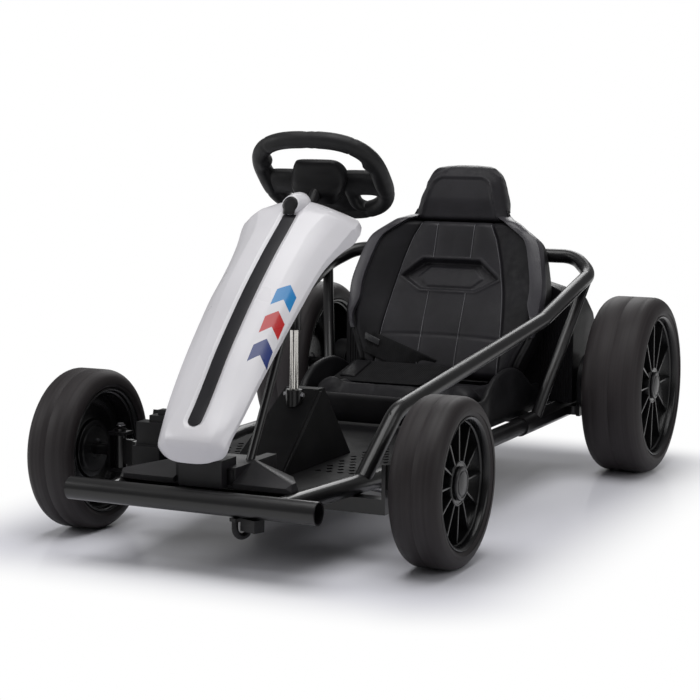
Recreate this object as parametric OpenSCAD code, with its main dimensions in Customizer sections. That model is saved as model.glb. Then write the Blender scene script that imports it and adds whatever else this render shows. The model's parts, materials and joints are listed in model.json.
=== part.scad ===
// Electric drift kart: open tube frame, four slick wheels, sloping nose fairing, bucket seat.
// Millimetres. +X is forward, +Y is the kart's left, +Z is up, and the origin is on the floor
// at the middle of the length and the width. All modules are drawn from the front axle's middle.

/* [Overall] */
// Distance from the front axle to the rear axle
wheelbase = 833; // [800:1:880]
// Distance from the front axle to the front of the bumper
front_overhang = 213; // [206:1:230]
// Height of the lower rails' centre line
rail_z = 103; // [100:0.5:108]

/* [Wheels] */
// Outer diameter of a front wheel
front_d = 240; // [230:1:250]
// Width of a front tyre
front_w = 75; // [68:1:80]
// Distance between the middles of the front tyres
front_track = 574; // [570:1:590]
// Outer diameter of a rear wheel
rear_d = 310; // [296:1:320]
// Width of a rear tyre
rear_w = 105; // [96:1:112]
// Distance between the middles of the rear tyres
rear_track = 632; // [628:1:650]
// Height of a front tyre's sidewall
front_side = 26; // [22:1:28]
// Height of a rear tyre's sidewall
rear_side = 31; // [26:1:34]
// Number of spokes in a rim
spokes = 12; // [8:1:14]
// Width of a spoke
spoke_w = 5.5; // [4:0.5:7]

/* [Frame] */
// Diameter of the front bumper tube
bumper_d = 32; // [28:1:34]
// Length of the front bumper tube
bumper_w = 382; // [340:1:400]
// Wall of the bumper tube and of the rear sleeves
tube_wall = 2.5; // [2:0.1:3.5]
// Diameter of the lower rails
rail_d = 28; // [26:1:30]
// Distance of the lower rails from the middle, at the rear
rail_y = 190; // [184:1:194]
// Diameter of the side hoop tube
hoop_d = 25; // [22:1:27]
// Diameter of the rear struts
strut_d = 19; // [16:1:21]
// Thickness of the floor plate
floor_t = 3; // [2:0.5:4]

/* [Steering] */
// Lean of the steering wheel and of the fairing from the level
rake = 44; // [42:1:46]
// Width of the steering wheel between the middles of its grips
grip_w = 195; // [185:1:205]
// Height of the steering wheel between the middles of its rim
grip_h = 156; // [148:1:164]
// Diameter of the steering wheel's rim tube
grip_d = 26; // [24:1:28]
// Distance of a kingpin inboard of the middle of its wheel
king_in = 56; // [55:1:58]
// Diameter of a kingpin
king_d = 10; // [8:1:11]
// Diameter of the lower steering shaft
shaft_d = 13; // [12:0.5:14]
// Distance of the steering shaft behind the front axle
shaft_back = 115; // [112:1:118]
// Diameter of the stub axles
stub_d = 16; // [14:1:18]
// Diameter of the rear axle
axle_d = 20; // [16:1:22]

/* [Nose] */
// Wall of the fairing
fairing_t = 3; // [2.5:0.5:4]
// Width of the black centre stripe
stripe_w = 21; // [18:1:24]
// Diameter of the two stay rods
stay_d = 12; // [10:1:13]

/* [Seat] */
// Length of the seat base
seat_len = 286; // [276:1:296]
// Distance of the backrest's foot ahead of the rear axle
back_ahead = 132; // [130:1:140]
// Height of the seat base's top
seat_z = 140; // [138:1:146]
// Distance from the seat's side to the middle of a lower rail
seat_side = 20; // [18:1:24]
// Lean of the backrest from the upright
recline = 16.5; // [15:0.5:18]

/* [Hidden] */
$fn = 48;

gap = 0.25;
run = 0.05;
cushion_t = 20;
pad_t = 22;
shell_t = 12;
back_foot = [back_ahead - wheelbase, 0, 184];
seat_w = 2 * (rail_y - seat_side);
hoop_bar_z = 379;
// The hoop's cross bar lies against the back of the seat shell
hoop_bar_x = back_foot[0] - (hoop_bar_z - back_foot[2]) * tan(recline)
    - (pad_t + shell_t + gap + hoop_d / 2) / cos(recline);
// A bend is this much thinner than its straights, and laps a little way into them
bend_step = 0.05;
front_x = (wheelbase + rear_d / 2 - front_overhang) / 2;
front_r = front_d / 2;
rear_r = rear_d / 2;
front_y = front_track / 2;
king_y = front_y - king_in;
rear_y = rear_track / 2;
rail_r = rail_d / 2;
bumper_r = bumper_d / 2;
bumper_x = front_overhang - bumper_r;

rail_front_y = king_y - 103;
hoop_foot_x = -15;
rail_wide_x = -wheelbase + 533;
sleeve_x = -wheelbase + 243;
rear_cross_x = -wheelbase + 143;
sleeve_end_x = -wheelbase - 97;
sleeve_r = rail_r + gap + tube_wall;

rail_path = [
    [bumper_x, rail_front_y, rail_z], [rail_wide_x, rail_y, rail_z], [sleeve_x - 60, rail_y, rail_z]
];
function rail_y_at(x) = x < rail_wide_x ? rail_y
    : rail_front_y + (rail_y - rail_front_y) * (bumper_x - x) / (bumper_x - rail_wide_x);
hoop_half = [
    [hoop_foot_x, rail_y_at(hoop_foot_x), rail_z], [-105, 170, 195], [-wheelbase + 273, 238, 290],
    [-wheelbase + 63, 252, 352], [hoop_bar_x, 212, hoop_bar_z]
];
strut_foot = [-wheelbase + 179, rail_y + 4, rail_z];
strut_head = [-wheelbase + 73, 250, 346];

// Direction helpers: a unit vector, and a matrix that turns +Z to a direction
function unit(v) = v / norm(v);
function mirrored(points) = [for (p = points) [p[0], -p[1], p[2]]];
function reversed(points) = [for (i = [len(points) - 1:-1:0]) points[i]];
function turned(x, y, z, at) = [
    [x[0], y[0], z[0], at[0]], [x[1], y[1], z[1], at[1]], [x[2], y[2], z[2], at[2]], [0, 0, 0, 1]
];

module rod_between(a, b, r) {
    d = b - a;
    translate(a)
        rotate([0, acos(d[2] / norm(d)), atan2(d[1], d[0])])
            cylinder(r = r, h = norm(d));
}

// A tube of radius r along points, its corners bent to the radius bend
module bent_tube(points, r, bend) {
    last = len(points) - 1;
    cut = [for (i = [0:last])
        (i == 0 || i == last) ? 0
            : bend * tan(acos(unit(points[i] - points[i - 1]) * unit(points[i + 1] - points[i])) / 2)];
    for (i = [0:last - 1]) {
        u = unit(points[i + 1] - points[i]);
        rod_between(points[i] + cut[i] * u, points[i + 1] - cut[i + 1] * u, r);
    }
    for (i = [1:1:last - 1]) {
        u = unit(points[i] - points[i - 1]);
        w = unit(points[i + 1] - points[i]);
        m = unit(w - (w * u) * u);
        lap = 120 / bend;
        multmatrix(turned(-m, u, cross(-m, u), points[i] - cut[i] * u + bend * m))
            rotate([0, 0, -lap])
                rotate_extrude(angle = acos(u * w) + 2 * lap)
                    translate([bend, 0])
                        circle(r = r - bend_step);
    }
}

module both_sides() {
    children();
    mirror([0, 1, 0])
        children();
}

module in_place() {
    translate([front_x, 0, 0])
        children();
}

// Frame

module front_bumper() {
    color("#1c1c1e")
        in_place()
            translate([bumper_x, -bumper_w / 2, rail_z])
                rotate([-90, 0, 0])
                    difference() {
                        cylinder(r = bumper_r, h = bumper_w);
                        translate([0, 0, -1])
                            cylinder(r = bumper_r - tube_wall, h = bumper_w + 2);
                    }
}

cross_x = [150, rail_wide_x - 170];
cross_r = rail_r - 4;

module main_rails() {
    color("#1c1c1e")
        in_place()
            difference() {
                union() {
                    both_sides()
                        bent_tube(rail_path, rail_r, 60);
                    for (x = cross_x) {
                        half = rail_y_at(x);
                        translate([x, -half, rail_z])
                            rotate([-90, 0, 0])
                                cylinder(r = cross_r, h = 2 * half);
                    }
                }
                translate([bumper_x, -bumper_w / 2, rail_z])
                    rotate([-90, 0, 0])
                        cylinder(r = bumper_r + gap, h = bumper_w);
            }
}

carrier_y = rail_y + 31;
carrier_t = 6;

module rear_frame() {
    color("#1c1c1e")
        in_place()
            difference() {
                union() {
                    both_sides()
                        translate([sleeve_end_x, rail_y, rail_z])
                            rotate([0, 90, 0])
                                cylinder(r = sleeve_r, h = sleeve_x - sleeve_end_x);
                    for (x = [sleeve_end_x + 25, rear_cross_x])
                        translate([x, -rail_y, rail_z])
                            rotate([-90, 0, 0])
                                cylinder(r = cross_r, h = 2 * rail_y);
                    both_sides() {
                        translate([-wheelbase - 25, rail_y, rail_z - 8])
                            cube([50, carrier_y - rail_y, 16]);
                        translate([-wheelbase, carrier_y, 0])
                            rotate([-90, 0, 0])
                                linear_extrude(carrier_t)
                                    hull() {
                                        translate([0, -rear_r])
                                            circle(r = axle_d / 2 + 12);
                                        translate([-25, -rail_z - 10])
                                            square([50, 20]);
                                    }
                    }
                }
                both_sides() {
                    translate([sleeve_x - 62, rail_y, rail_z])
                        rotate([0, 90, 0])
                            cylinder(r = rail_r + gap, h = 80);
                    translate([-wheelbase, carrier_y - 1, rear_r])
                        rotate([-90, 0, 0])
                            cylinder(r = axle_d / 2 + gap, h = carrier_t + 2);
                    translate([sleeve_end_x - 1, rail_y, rail_z])
                        rotate([0, 90, 0])
                            cylinder(r = sleeve_r - tube_wall, h = 40);
                }
            }
}

module hoop_solid(grow) {
    bent_tube(concat(hoop_half, reversed(mirrored(hoop_half))), hoop_d / 2 + grow, 52);
}

module side_hoop() {
    color("#1c1c1e")
        in_place()
            difference() {
                hoop_solid(0);
                both_sides()
                    rod_between(rail_path[0], rail_path[1], rail_r + gap);
            }
}

module hoop_struts() {
    color("#1c1c1e")
        in_place()
            both_sides()
                difference() {
                    rod_between(strut_foot, strut_head, strut_d / 2);
                    hoop_solid(gap);
                    translate([sleeve_end_x, rail_y, rail_z])
                        rotate([0, 90, 0])
                            cylinder(r = sleeve_r + gap, h = sleeve_x - sleeve_end_x);
                }
}

beam_h = 22;
beam_top = rail_z - rail_r - gap;
beam_half = king_y - 26;
barrel_r = king_d / 2 + 4;
barrel_h = 50;

module front_axle_beam() {
    color("#1c1c1e")
        in_place()
            difference() {
                union() {
                    translate([-12, -beam_half, beam_top - beam_h])
                        cube([24, 2 * beam_half, beam_h]);
                    both_sides() {
                        translate([-12, beam_half - 6, beam_top - beam_h])
                            cube([24, 6, front_r + 18 - beam_top + beam_h]);
                        translate([-6, beam_half - 1, front_r - 18])
                            cube([12, king_y - beam_half + 1, 36]);
                        translate([0, king_y, front_r - barrel_h / 2])
                            cylinder(r = barrel_r, h = barrel_h);
                    }
                }
                both_sides()
                    translate([0, king_y, front_r - barrel_h / 2 - 1])
                        cylinder(r = king_d / 2 + run, h = barrel_h + 2);
            }
}

floor_z = rail_z - floor_t / 2;
floor_clear = rail_r + 1;
mesh_x0 = -60;
mesh_step = 21;

module floor_outline() {
    both = [
        [cross_x[0] - cross_r - gap, rail_y_at(cross_x[0]) - floor_clear],
        [rail_wide_x, rail_y - floor_clear],
        [cross_x[1] + cross_r + gap, rail_y - floor_clear]
    ];
    polygon(concat(both, reversed([for (p = both) [p[0], -p[1]]])));
}

module floor_pan() {
    color("#161617")
        in_place()
            translate([0, 0, floor_z])
                linear_extrude(floor_t)
                    difference() {
                        floor_outline();
                        for (side = [-1, 1])
                            for (i = [0:floor((mesh_x0 - cross_x[1] - 140) / mesh_step)])
                                for (j = [0:4])
                                    translate([
                                        mesh_x0 - 10 - mesh_step * i, side * (62 + 18 * j + 9 * (i % 2))
                                    ])
                                        polygon([[-7, 0], [0, -6], [7, 0], [0, 6]]);
                        translate([-shaft_back, 0])
                            circle(r = shaft_d / 2 + 4);
                    }
}

// Nose

base_z = rail_z + rail_r + gap;
nose_block_h = 27;

module wedge_block() {
    // low sloping step between the fairing's foot and the rail
    hull() {
        translate([60, 46, base_z])
            cube([100, 40, 2]);
        translate([140, 131, base_z])
            cube([20, 2, 2]);
        translate([162, 46, base_z])
            cube([2, 80, 7]);
        translate([100, 46, base_z])
            cube([4, 1, 30]);
        translate([143, 129, base_z])
            cube([14, 2, 12]);
    }
}

module nose_base() {
    color("#161617")
        in_place()
            union() {
                translate([60, -46.5, base_z])
                    cube([96, 93, nose_block_h]);
                translate([130, -33.5, base_z])
                    cube([42, 67, nose_block_h + 11]);
                both_sides() {
                    wedge_block();
                    translate([32, 30, base_z])
                        cube([30, 16.5, nose_block_h]);
                }
            }
}

module tow_loop() {
    loop_r = 14;
    rod_r = 4.5;
    drop = 8;
    color("#141414")
        in_place()
            translate([bumper_x - 8, 75, rail_z - bumper_r - 5 - gap])
                rotate([0, 0, -20])
                    union() {
                        translate([0, 0, -drop])
                            rotate([-90, 0, 0])
                                rotate_extrude(angle = 180)
                                    translate([loop_r, 0])
                                        circle(r = rod_r);
                        for (side = [-1, 1])
                            translate([side * loop_r, 0, -drop])
                                cylinder(r = rod_r, h = drop + 1);
                        translate([-loop_r - rod_r, -6, 0])
                            cube([2 * (loop_r + rod_r), 12, 5]);
                        translate([-8, 6, -12])
                            cube([18, 28, 17]);
                    }
}

pedal_y = -rail_front_y - 32;
pedal_w = 45;

module throttle_pedal() {
    // columns: from x, depth, start across, width across, top above the rails
    steps = [
        [35, 50, 0, pedal_w, 30], [47, 26, 0, pedal_w, 63], [47, 20, 18, 30, 73], [47, 14, 29, 21, 81]
    ];
    color("#161617")
        in_place()
            union() {
                for (b = steps)
                    translate([b[0], pedal_y + b[2], base_z])
                        cube([b[1], b[3], b[4]]);
                translate([35, pedal_y + 2, base_z + 25])
                    rotate([0, -14, 0])
                        cube([6, pedal_w - 4, 50]);
            }
}

console_w = 86;
console_top_w = 55;

// The tapered solid of the console, moved in by inset
module console_form(inset) {
    hull() {
        translate([-225 + inset, -console_w / 2 + inset, -inset / 2])
            cube([245 - 2 * inset, console_w - 2 * inset, 1]);
        translate([-162 + inset, -console_top_w / 2 + inset, 107 - inset])
            cube([22 - 2 * inset, console_top_w - 2 * inset, 1]);
    }
}

module console() {
    wall = 3;
    base = rail_z + floor_t / 2;
    color("#161617")
        in_place()
            translate([0, 0, base + gap])
                difference() {
                    console_form(0);
                    console_form(wall);
                    translate([-shaft_back, 0, 60])
                        cylinder(r = shaft_d / 2 + 1, h = 100);
                }
}

module shaft_collar() {
    foot = rail_z + floor_t / 2 + gap;
    collar_r = 12.5;
    color("#101010")
        in_place()
            difference() {
                translate([-shaft_back, 0, foot + 70])
                    cylinder(r = collar_r, h = 40);
                translate([-shaft_back, 0, foot + 60])
                    cylinder(r = shaft_d / 2 + run, h = 60);
                translate([0, 0, foot])
                    console_form(-gap);
            }
}

// Points of the fairing: s runs up the slope from the stripe's foot, v stands off it
nose_x = front_overhang - 14;
nose_z = rail_z + 104;
function slope(s, v, y) = [
    nose_x - s * cos(rake) + v * sin(rake), y, nose_z + s * sin(rake) + v * cos(rake)
];

// columns: s, v middle, face half width, face v, edge half width, edge v, rear half width, rear v, s shift
fairing_rows = [
    [-38, -34, 34, -34, 44, -34, 50, -38, 12],
    [-30, -22, 32, -22, 46, -27, 52, -33, 8],
    [-20, -9, 30, -9, 48, -21, 53, -29, 2],
    [0, -5, 38, -8, 54, -21, 55, -26, 0],
    [40, -4, 34, -7, 59, -18, 60, -23, 0],
    [80, -1, 33, -4, 62, -16, 63, -22, 0],
    [120, 2.6, 33.5, 0, 65, -16, 66, -22, 0],
    [160, 3.8, 35, 1, 67.5, -17, 68.5, -23, 0],
    [200, 4, 39, 1, 69.5, -18.5, 70.6, -25, 0],
    [240, 3.3, 41, 0.3, 71.5, -21, 72.7, -28, 0],
    [280, 1.1, 42, -2, 72.5, -26, 73.5, -33, 0],
    [320, -2, 43, -5, 75, -31, 76, -40, 0],
    [360, -6.6, 44, -9.6, 81.5, -38, 83, -51, 0],
    [390, -10, 50, -13, 88, -42, 91, -62, 0],
    [410, -12, 56, -17, 90, -46, 92, -64, 0],
    [430, -16, 50, -30, 85, -56, 86, -67, 3],
    [440, -26, 44, -42, 75, -68, 77, -75, -4]
];

// A smooth row between rows b and c, with a and d on either side
function between(a, b, c, d, t) =
    b + t / 2 * (c - a + t * (2 * a - 5 * b + 4 * c - d + t * (3 * (b - c) + d - a)));
function doubled(rows) = concat(
    [for (k = [0:len(rows) - 2]) for (t = [0, 0.5])
        between(rows[max(k - 1, 0)], rows[k], rows[k + 1], rows[min(k + 2, len(rows) - 1)], t)],
    [rows[len(rows) - 1]]);

// Half of a ring of the fairing, from the rear edge to the middle, moved in by the wall t
function fairing_half(r, t) = [
    [r[0] + r[8], r[6] - 0.4 * t, r[7]],
    [r[0] + r[8] * 0.8, r[4] - t, r[5] - 0.5 * t],
    [r[0] + r[8] * 0.6, (r[2] + r[4]) / 2 + 1 - 0.8 * t, (r[3] + r[5]) / 2 + 1 - 0.8 * t],
    [r[0] + r[8] * 0.4, r[2] - 0.4 * t, r[3] - t],
    [r[0] + r[8] * 0.1, r[2] / 2, (r[1] * 3 + r[3]) / 4 - t]
];
function fairing_ring(r, t) =
    let (half = fairing_half(r, t))
    concat(
        [for (p = half) slope(p[0], p[2], p[1])],
        [slope(r[0], r[1] - t, 0)],
        [for (p = reversed(half)) slope(p[0], p[2], -p[1])]);

// A closed skin round a row of rings: a ring runs along one side and back along the other
module skin(rings) {
    n = len(rings[0]);
    m = len(rings);
    top = (m - 1) * n;
    points = [for (ring = rings) for (p = ring) p];
    faces = concat(
        [for (k = [0:m - 2]) for (i = [0:n - 1])
            [k * n + i, k * n + (i + 1) % n, (k + 1) * n + (i + 1) % n]],
        [for (k = [0:m - 2]) for (i = [0:n - 1])
            [k * n + i, (k + 1) * n + (i + 1) % n, (k + 1) * n + i]],
        [for (i = [0:n / 2 - 2]) [i + 1, i, n - 1 - i]],
        [for (i = [0:n / 2 - 2]) [i + 1, n - 1 - i, n - 2 - i]],
        [for (i = [0:n / 2 - 2]) [top + i, top + i + 1, top + n - 1 - i]],
        [for (i = [0:n / 2 - 2]) [top + i + 1, top + n - 2 - i, top + n - 1 - i]]
    );
    polyhedron(points = points, faces = faces);
}

// The pod at the fairing's top: a rounded boss with a flat round face that looks forward
pod_face = [-98, 0, 490];
pod_r = 14.5;
pod_lean = 21;

module nose_pod() {
    difference() {
        hull() {
            translate(pod_face)
                rotate([0, 90 - pod_lean, 0])
                    translate([0, 0, -3])
                        cylinder(r = pod_r, h = 3);
            translate([-122, 0, 488])
                sphere(r = 21);
        }
        translate(slope(0, -20.4, 0))
            rotate([0, rake, 0])
                translate([-600, -50, -100])
                    cube([600, 100, 100]);
    }
}

module nose_fairing() {
    color("#f2f2f2")
        in_place()
            union() {
                skin([for (r = doubled(fairing_rows))
                    concat(fairing_ring(r, 0), reversed(fairing_ring(r, fairing_t)))]);
                nose_pod();
                // feet that stand on the stays' bearing plate
                for (side = [-1, 1])
                    translate(slope(415, -20.55, side * stay_y - 4))
                        rotate([0, rake, 0])
                            cube([8, 8, 3.8]);
            }
}

stripe_rows = [for (r = doubled(fairing_rows)) if (r[0] >= 0 && r[0] < 399) r];

module nose_stripe() {
    // raised black inlay up the middle of the fairing, with a round plate on the pod's face
    half = stripe_w / 2;
    color("#2a2a2d")
        in_place()
            union() {
                skin([for (r = stripe_rows) [
                    slope(r[0], r[1] + 0.3, half), slope(r[0], r[1] + 1.5, half),
                    slope(r[0], r[1] + 1.5, -half), slope(r[0], r[1] + 0.3, -half)
                ]]);
                translate(pod_face)
                    rotate([0, 90 - pod_lean, 0])
                        translate([0, 0, 0.3])
                            cylinder(r = pod_r - 2.2, h = 1);
            }
}

stay_y = 32;
stay_foot = [90, stay_y, base_z + nose_block_h - 8];
stay_top = [-117, stay_y, 474.3];
wheel_x = -208;
wheel_z = 530;
bearing_t = 103;
column_r = 9;

// The steering wheel's frame: +Z runs down the column, -X up the wheel's face
module down_column() {
    translate([wheel_x, 0, wheel_z])
        rotate([0, 180 - rake, 0])
            children();
}

module fairing_stays() {
    color("#161617")
        in_place()
            difference() {
                union() {
                    both_sides()
                        rod_between(stay_foot, stay_top, stay_d / 2);
                    down_column()
                        translate([0, 0, bearing_t - 5])
                            linear_extrude(10)
                                hull() {
                                    circle(r = column_r + 8);
                                    for (side = [-1, 1])
                                        translate([-25, side * stay_y])
                                            circle(r = 8);
                                }
                }
                down_column()
                    translate([0, 0, bearing_t - 20])
                        cylinder(r = column_r + run, h = 40);
                translate([stay_foot[0] - 30, -stay_y - 10, base_z + nose_block_h + gap - 30])
                    cube([60, 2 * stay_y + 20, 30]);
            }
}

// Steering

joint_t = (wheel_x + shaft_back) / -sin(rake);
joint_z = wheel_z - joint_t * cos(rake);
pitman_z = floor_z - 14;
pitman_r = 38;
pitman_y = 12;
arm_back = 50;
arm_z = pitman_z;
pin_r = 4;

module steering_shaft() {
    color("#b9babd")
        in_place()
            translate([-shaft_back, 0, 0])
                union() {
                    translate([0, 0, pitman_z - 3])
                        cylinder(r = shaft_d / 2, h = joint_z - pitman_z + 3 - 16);
                    translate([0, 0, joint_z - 30])
                        cylinder(r = 9, h = 14);
                    for (side = [-1, 1])
                        translate([side * 10 - 2, -6, joint_z - 18])
                            cube([4, 12, 24]);
                    translate([0, 0, joint_z])
                        rotate([0, 90, 0])
                            sphere(r = 8.6);
                    translate([0, 0, pitman_z])
                        linear_extrude(5)
                            hull() {
                                circle(r = 11);
                                for (side = [-1, 1])
                                    translate([-pitman_r, side * pitman_y])
                                        circle(r = 8);
                            }
                    for (side = [-1, 1])
                        translate([-pitman_r, side * pitman_y, pitman_z - 12])
                            cylinder(r = pin_r, h = 14);
                }
}

module upper_column() {
    color("#b9babd")
        in_place()
            down_column()
                union() {
                    translate([0, 0, 20])
                        cylinder(r = column_r, h = joint_t - 38);
                    for (side = [-1, 1])
                        translate([-6, side * 10.9 - 2, joint_t - 20])
                            cube([12, 4, 26]);
                    translate([0, 0, joint_t - 20])
                        cylinder(r = 12, h = 4);
                }
}

// columns: down the wheel's face, down the column
hub_profile = [
    [-36, 4], [-34, 12], [-20, 18], [-8, 45], [22, 40], [28, 10], [28, -10], [-16, -10], [-30, -4]
];
hub_half = 42;

module steering_hub() {
    color("#18181a")
        in_place()
            down_column()
                difference() {
                    intersection() {
                        rotate([90, 0, 0])
                            translate([0, 0, -hub_half])
                                linear_extrude(2 * hub_half)
                                    polygon(hub_profile);
                        translate([0, 0, -20])
                            linear_extrude(80)
                                polygon([
                                    [-37, -33], [-37, 33], [-18, hub_half], [20, hub_half],
                                    [29, 36], [29, -36], [20, -hub_half], [-18, -hub_half]
                                ]);
                    }
                    translate([0, 0, 18])
                        cylinder(r = column_r + gap, h = 30);
                }
}

function squircle(a, w, h, n) = [
    sign(cos(a)) * h / 2 * pow(abs(cos(a)), 2 / n), sign(sin(a)) * w / 2 * pow(abs(sin(a)), 2 / n)
];

module steering_rim() {
    steps = 48;
    sides = 12;
    path = [for (k = [0:steps - 1])
        squircle(360 * k / steps, grip_w, grip_h, cos(360 * k / steps) > 0 ? 3 : 2.2)];
    rings = [for (k = [0:steps - 1])
        let (p = path[k],
             q = path[(k + 1) % steps] - path[(k + steps - 1) % steps],
             out = unit([q[1], -q[0]]))
        [for (i = [0:sides - 1])
            [p[0] + out[0] * grip_d / 2 * cos(360 * i / sides),
             p[1] + out[1] * grip_d / 2 * cos(360 * i / sides),
             grip_d / 2 * sin(360 * i / sides)]]];
    points = [for (ring = rings) for (p = ring) p];
    faces = [for (k = [0:steps - 1]) for (i = [0:sides - 1])
        [k * sides + i, k * sides + (i + 1) % sides,
         ((k + 1) % steps) * sides + (i + 1) % sides, ((k + 1) % steps) * sides + i]];
    color("#18181a")
        in_place()
            down_column()
                union() {
                    polyhedron(points = points, faces = faces);
                    translate([0, 0, -6])
                        linear_extrude(16)
                            both_sides()
                                polygon([
                                    [-9, hub_half + gap], [-16, grip_w / 2 - 6], [24, grip_w / 2 - 6],
                                    [22, hub_half + gap]
                                ]);
                    translate([28 + gap, 0, -6])
                        linear_extrude(14)
                            polygon([[0, -41], [0, 41], [grip_h / 2 - 32, 36], [grip_h / 2 - 32, -36]]);
                }
}

module knuckle() {
    top_z = front_r + barrel_h / 2 + gap;
    low_z = front_r - barrel_h / 2 - gap;
    color("#161617")
        in_place()
            union() {
                for (z = [top_z, low_z - 5])
                    translate([-14, king_y - 14, z])
                        cube([28, 28, 5]);
                translate([-14, king_y + 10, low_z - 5])
                    cube([28, 4, top_z - low_z + 10]);
                translate([0, king_y, low_z - 6])
                    cylinder(r = king_d / 2, h = top_z - low_z + 12);
                translate([0, king_y, top_z + 5])
                    cylinder(r = 9, h = 4);
                translate([0, 0, low_z - 5])
                    linear_extrude(5)
                        hull() {
                            translate([-arm_back, king_y])
                                circle(r = 8);
                            translate([-8, king_y])
                                circle(r = 10);
                        }
                translate([-arm_back, king_y, low_z - 17])
                    cylinder(r = pin_r, h = 14);
                translate([0, king_y + 13, front_r])
                    rotate([-90, 0, 0])
                        cylinder(r = stub_d / 2, h = front_y + rim_deep(front_w) - 3 - king_y - 13);
                translate([0, king_y + 13, front_r])
                    rotate([-90, 0, 0])
                        cylinder(r = stub_d / 2 + 5, h = 5);
            }
}

module knuckle_left() {
    knuckle();
}

module knuckle_right() {
    mirror([0, 1, 0])
        knuckle();
}

module tie_rod(side) {
    low_z = front_r - barrel_h / 2 - gap;
    outer = [-arm_back, side * king_y, low_z - 11];
    inner = [-shaft_back - pitman_r, side * pitman_y, pitman_z - 8];
    along = unit(inner - outer);
    color("#8f9094")
        in_place()
            difference() {
                union() {
                    rod_between(outer, inner - along * 8, 5);
                    translate([outer[0], outer[1], outer[2] - 4])
                        cylinder(r = 9, h = 8);
                    translate([inner[0], inner[1], inner[2] - 3])
                        cylinder(r = pin_r + 6, h = 6);
                }
                translate([outer[0], outer[1], outer[2] - 10])
                    cylinder(r = pin_r + run, h = 20);
                translate([inner[0], inner[1], inner[2] - 10])
                    cylinder(r = pin_r + 3, h = 20);
            }
}

module tie_rod_left() {
    tie_rod(1);
}

module tie_rod_right() {
    tie_rod(-1);
}

// Seat

base_end = back_foot[0] - 45;
base_front = base_end + seat_len;
base_top_t = 4;
wing_t = 14;
base_z_top = seat_z - base_top_t - gap;

module seat_base() {
    base_foot = rail_z + cross_r + gap;
    color("#161617")
        in_place()
            difference() {
                union() {
                    translate([base_end, -seat_w / 2, base_foot])
                        cube([seat_len, seat_w, seat_z - base_foot]);
                    // raised sides beside the cushion
                    both_sides()
                        translate([base_front, seat_w / 2 + 4, seat_z])
                            rotate([90, 0, 0])
                                linear_extrude(wing_t)
                                    polygon([
                                        [-3, -20], [-6, 8], [-34, 34], [-66, 53], [-108, 61],
                                        [-152, 60], [-192, 48], [-228, 30], [-236, -20]
                                    ]);
                }
                translate([base_end + 10, -seat_w / 2 + 10, base_foot - 1])
                    cube([seat_len - 20, seat_w - 20, seat_z - base_foot + 1 - base_top_t]);
            }
}

module battery_block() {
    color("#2b2b2b")
        in_place()
            translate([rear_cross_x + cross_r + 15, -75, rail_z - rail_r])
                cube([cross_x[1] - rear_cross_x - 2 * cross_r - 20, 150, base_z_top - rail_z + rail_r]);
}

module seat_cushion() {
    half = seat_w / 2 + 4 - wing_t - 1;
    lip = half - 14;
    back_end = back_foot[0] + 15;
    color("#202022")
        in_place()
            translate([0, 0, seat_z + gap])
                linear_extrude(cushion_t)
                    offset(14)
                        offset(-14)
                            polygon([
                                [base_front, -lip], [base_front, lip], [base_front - 60, half],
                                [back_end, half], [back_end, -half], [base_front - 60, -half]
                            ]);
}

// columns: height up the back, half width, bolster forward, seam half width, middle forward
back_rows = [
    [-22, 146, 16, 118, 22],
    [0, 152, 22, 118, 24],
    [60, 176, 26, 115, 19],
    [133, 186, 23, 106, 8],
    [190, 176, 18, 94, 5],
    [230, 161, 13, 82, 4],
    [262, 120, 7, 68, 3]
];
back_low = (seat_z + gap - back_foot[2] + (pad_t + shell_t) * sin(recline)) / cos(recline);
// columns: height up the back, half width, rim forward
shell_rows = concat(
    [[back_low, 140, -8]],
    [for (r = back_rows) [r[0], r[1], r[2] - 7]],
    [[280, 93, -21], [290, 88, -21.2]]
);

module in_back_plane() {
    translate(back_foot)
        rotate([0, -90 - recline, 0])
            children();
}

// A ring across the back: half holds [across, forward] pairs from the left edge to the middle
function across(t, half) = concat(
    [for (p = half) [t, p[0], -p[1]]],
    [for (p = reversed(half)) [t, -p[0], -p[1]]]
);

module seat_shell() {
    color("#161617")
        in_place()
            in_back_plane()
                skin([for (r = shell_rows) concat(
                    across(r[0], [
                        [r[1] - 12 + gap, r[2]], [r[1] - 12 + gap, min(-17.5, r[2] - 0.5)],
                        [r[1] - 17, -pad_t], [30, -pad_t]
                    ]),
                    reversed(across(r[0], [
                        [r[1] - 2, r[2]], [r[1], min(-20, r[2] - 1)],
                        [r[1] - 12, -pad_t - shell_t], [30, -pad_t - shell_t]
                    ])))]);
}

module seat_back_pad() {
    back = -pad_t + gap;
    color("#202022")
        in_place()
            in_back_plane()
                skin([for (r = back_rows)
                    let (w = r[1] - 12)
                    concat(
                        across(r[0], [
                            [w, r[2] - 8], [w - 7, r[2] - 1], [(w + r[3]) / 2, r[2]],
                            [r[3] + 5, r[4] + 2], [r[3], r[4]], [r[3] / 2, r[4] + 1]
                        ]),
                        reversed(across(r[0], [
                            [w, -17], [w - 5.5, back], [(w + r[3]) / 2 - 2, back],
                            [r[3] + 5, back], [r[3], back], [r[3] / 2, back]
                        ])))]);
}

// columns: height up the back, half width, front forward, back forward
head_rows = [
    [268, 89, -2, -pad_t + gap],
    [290, 83, 4, -pad_t + gap],
    [290.3, 83, 4, -44],
    [306, 78, 6, -50],
    [338, 69, 4, -50],
    [356, 61, -2, -47],
    [369, 47, -11, -40]
];

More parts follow.
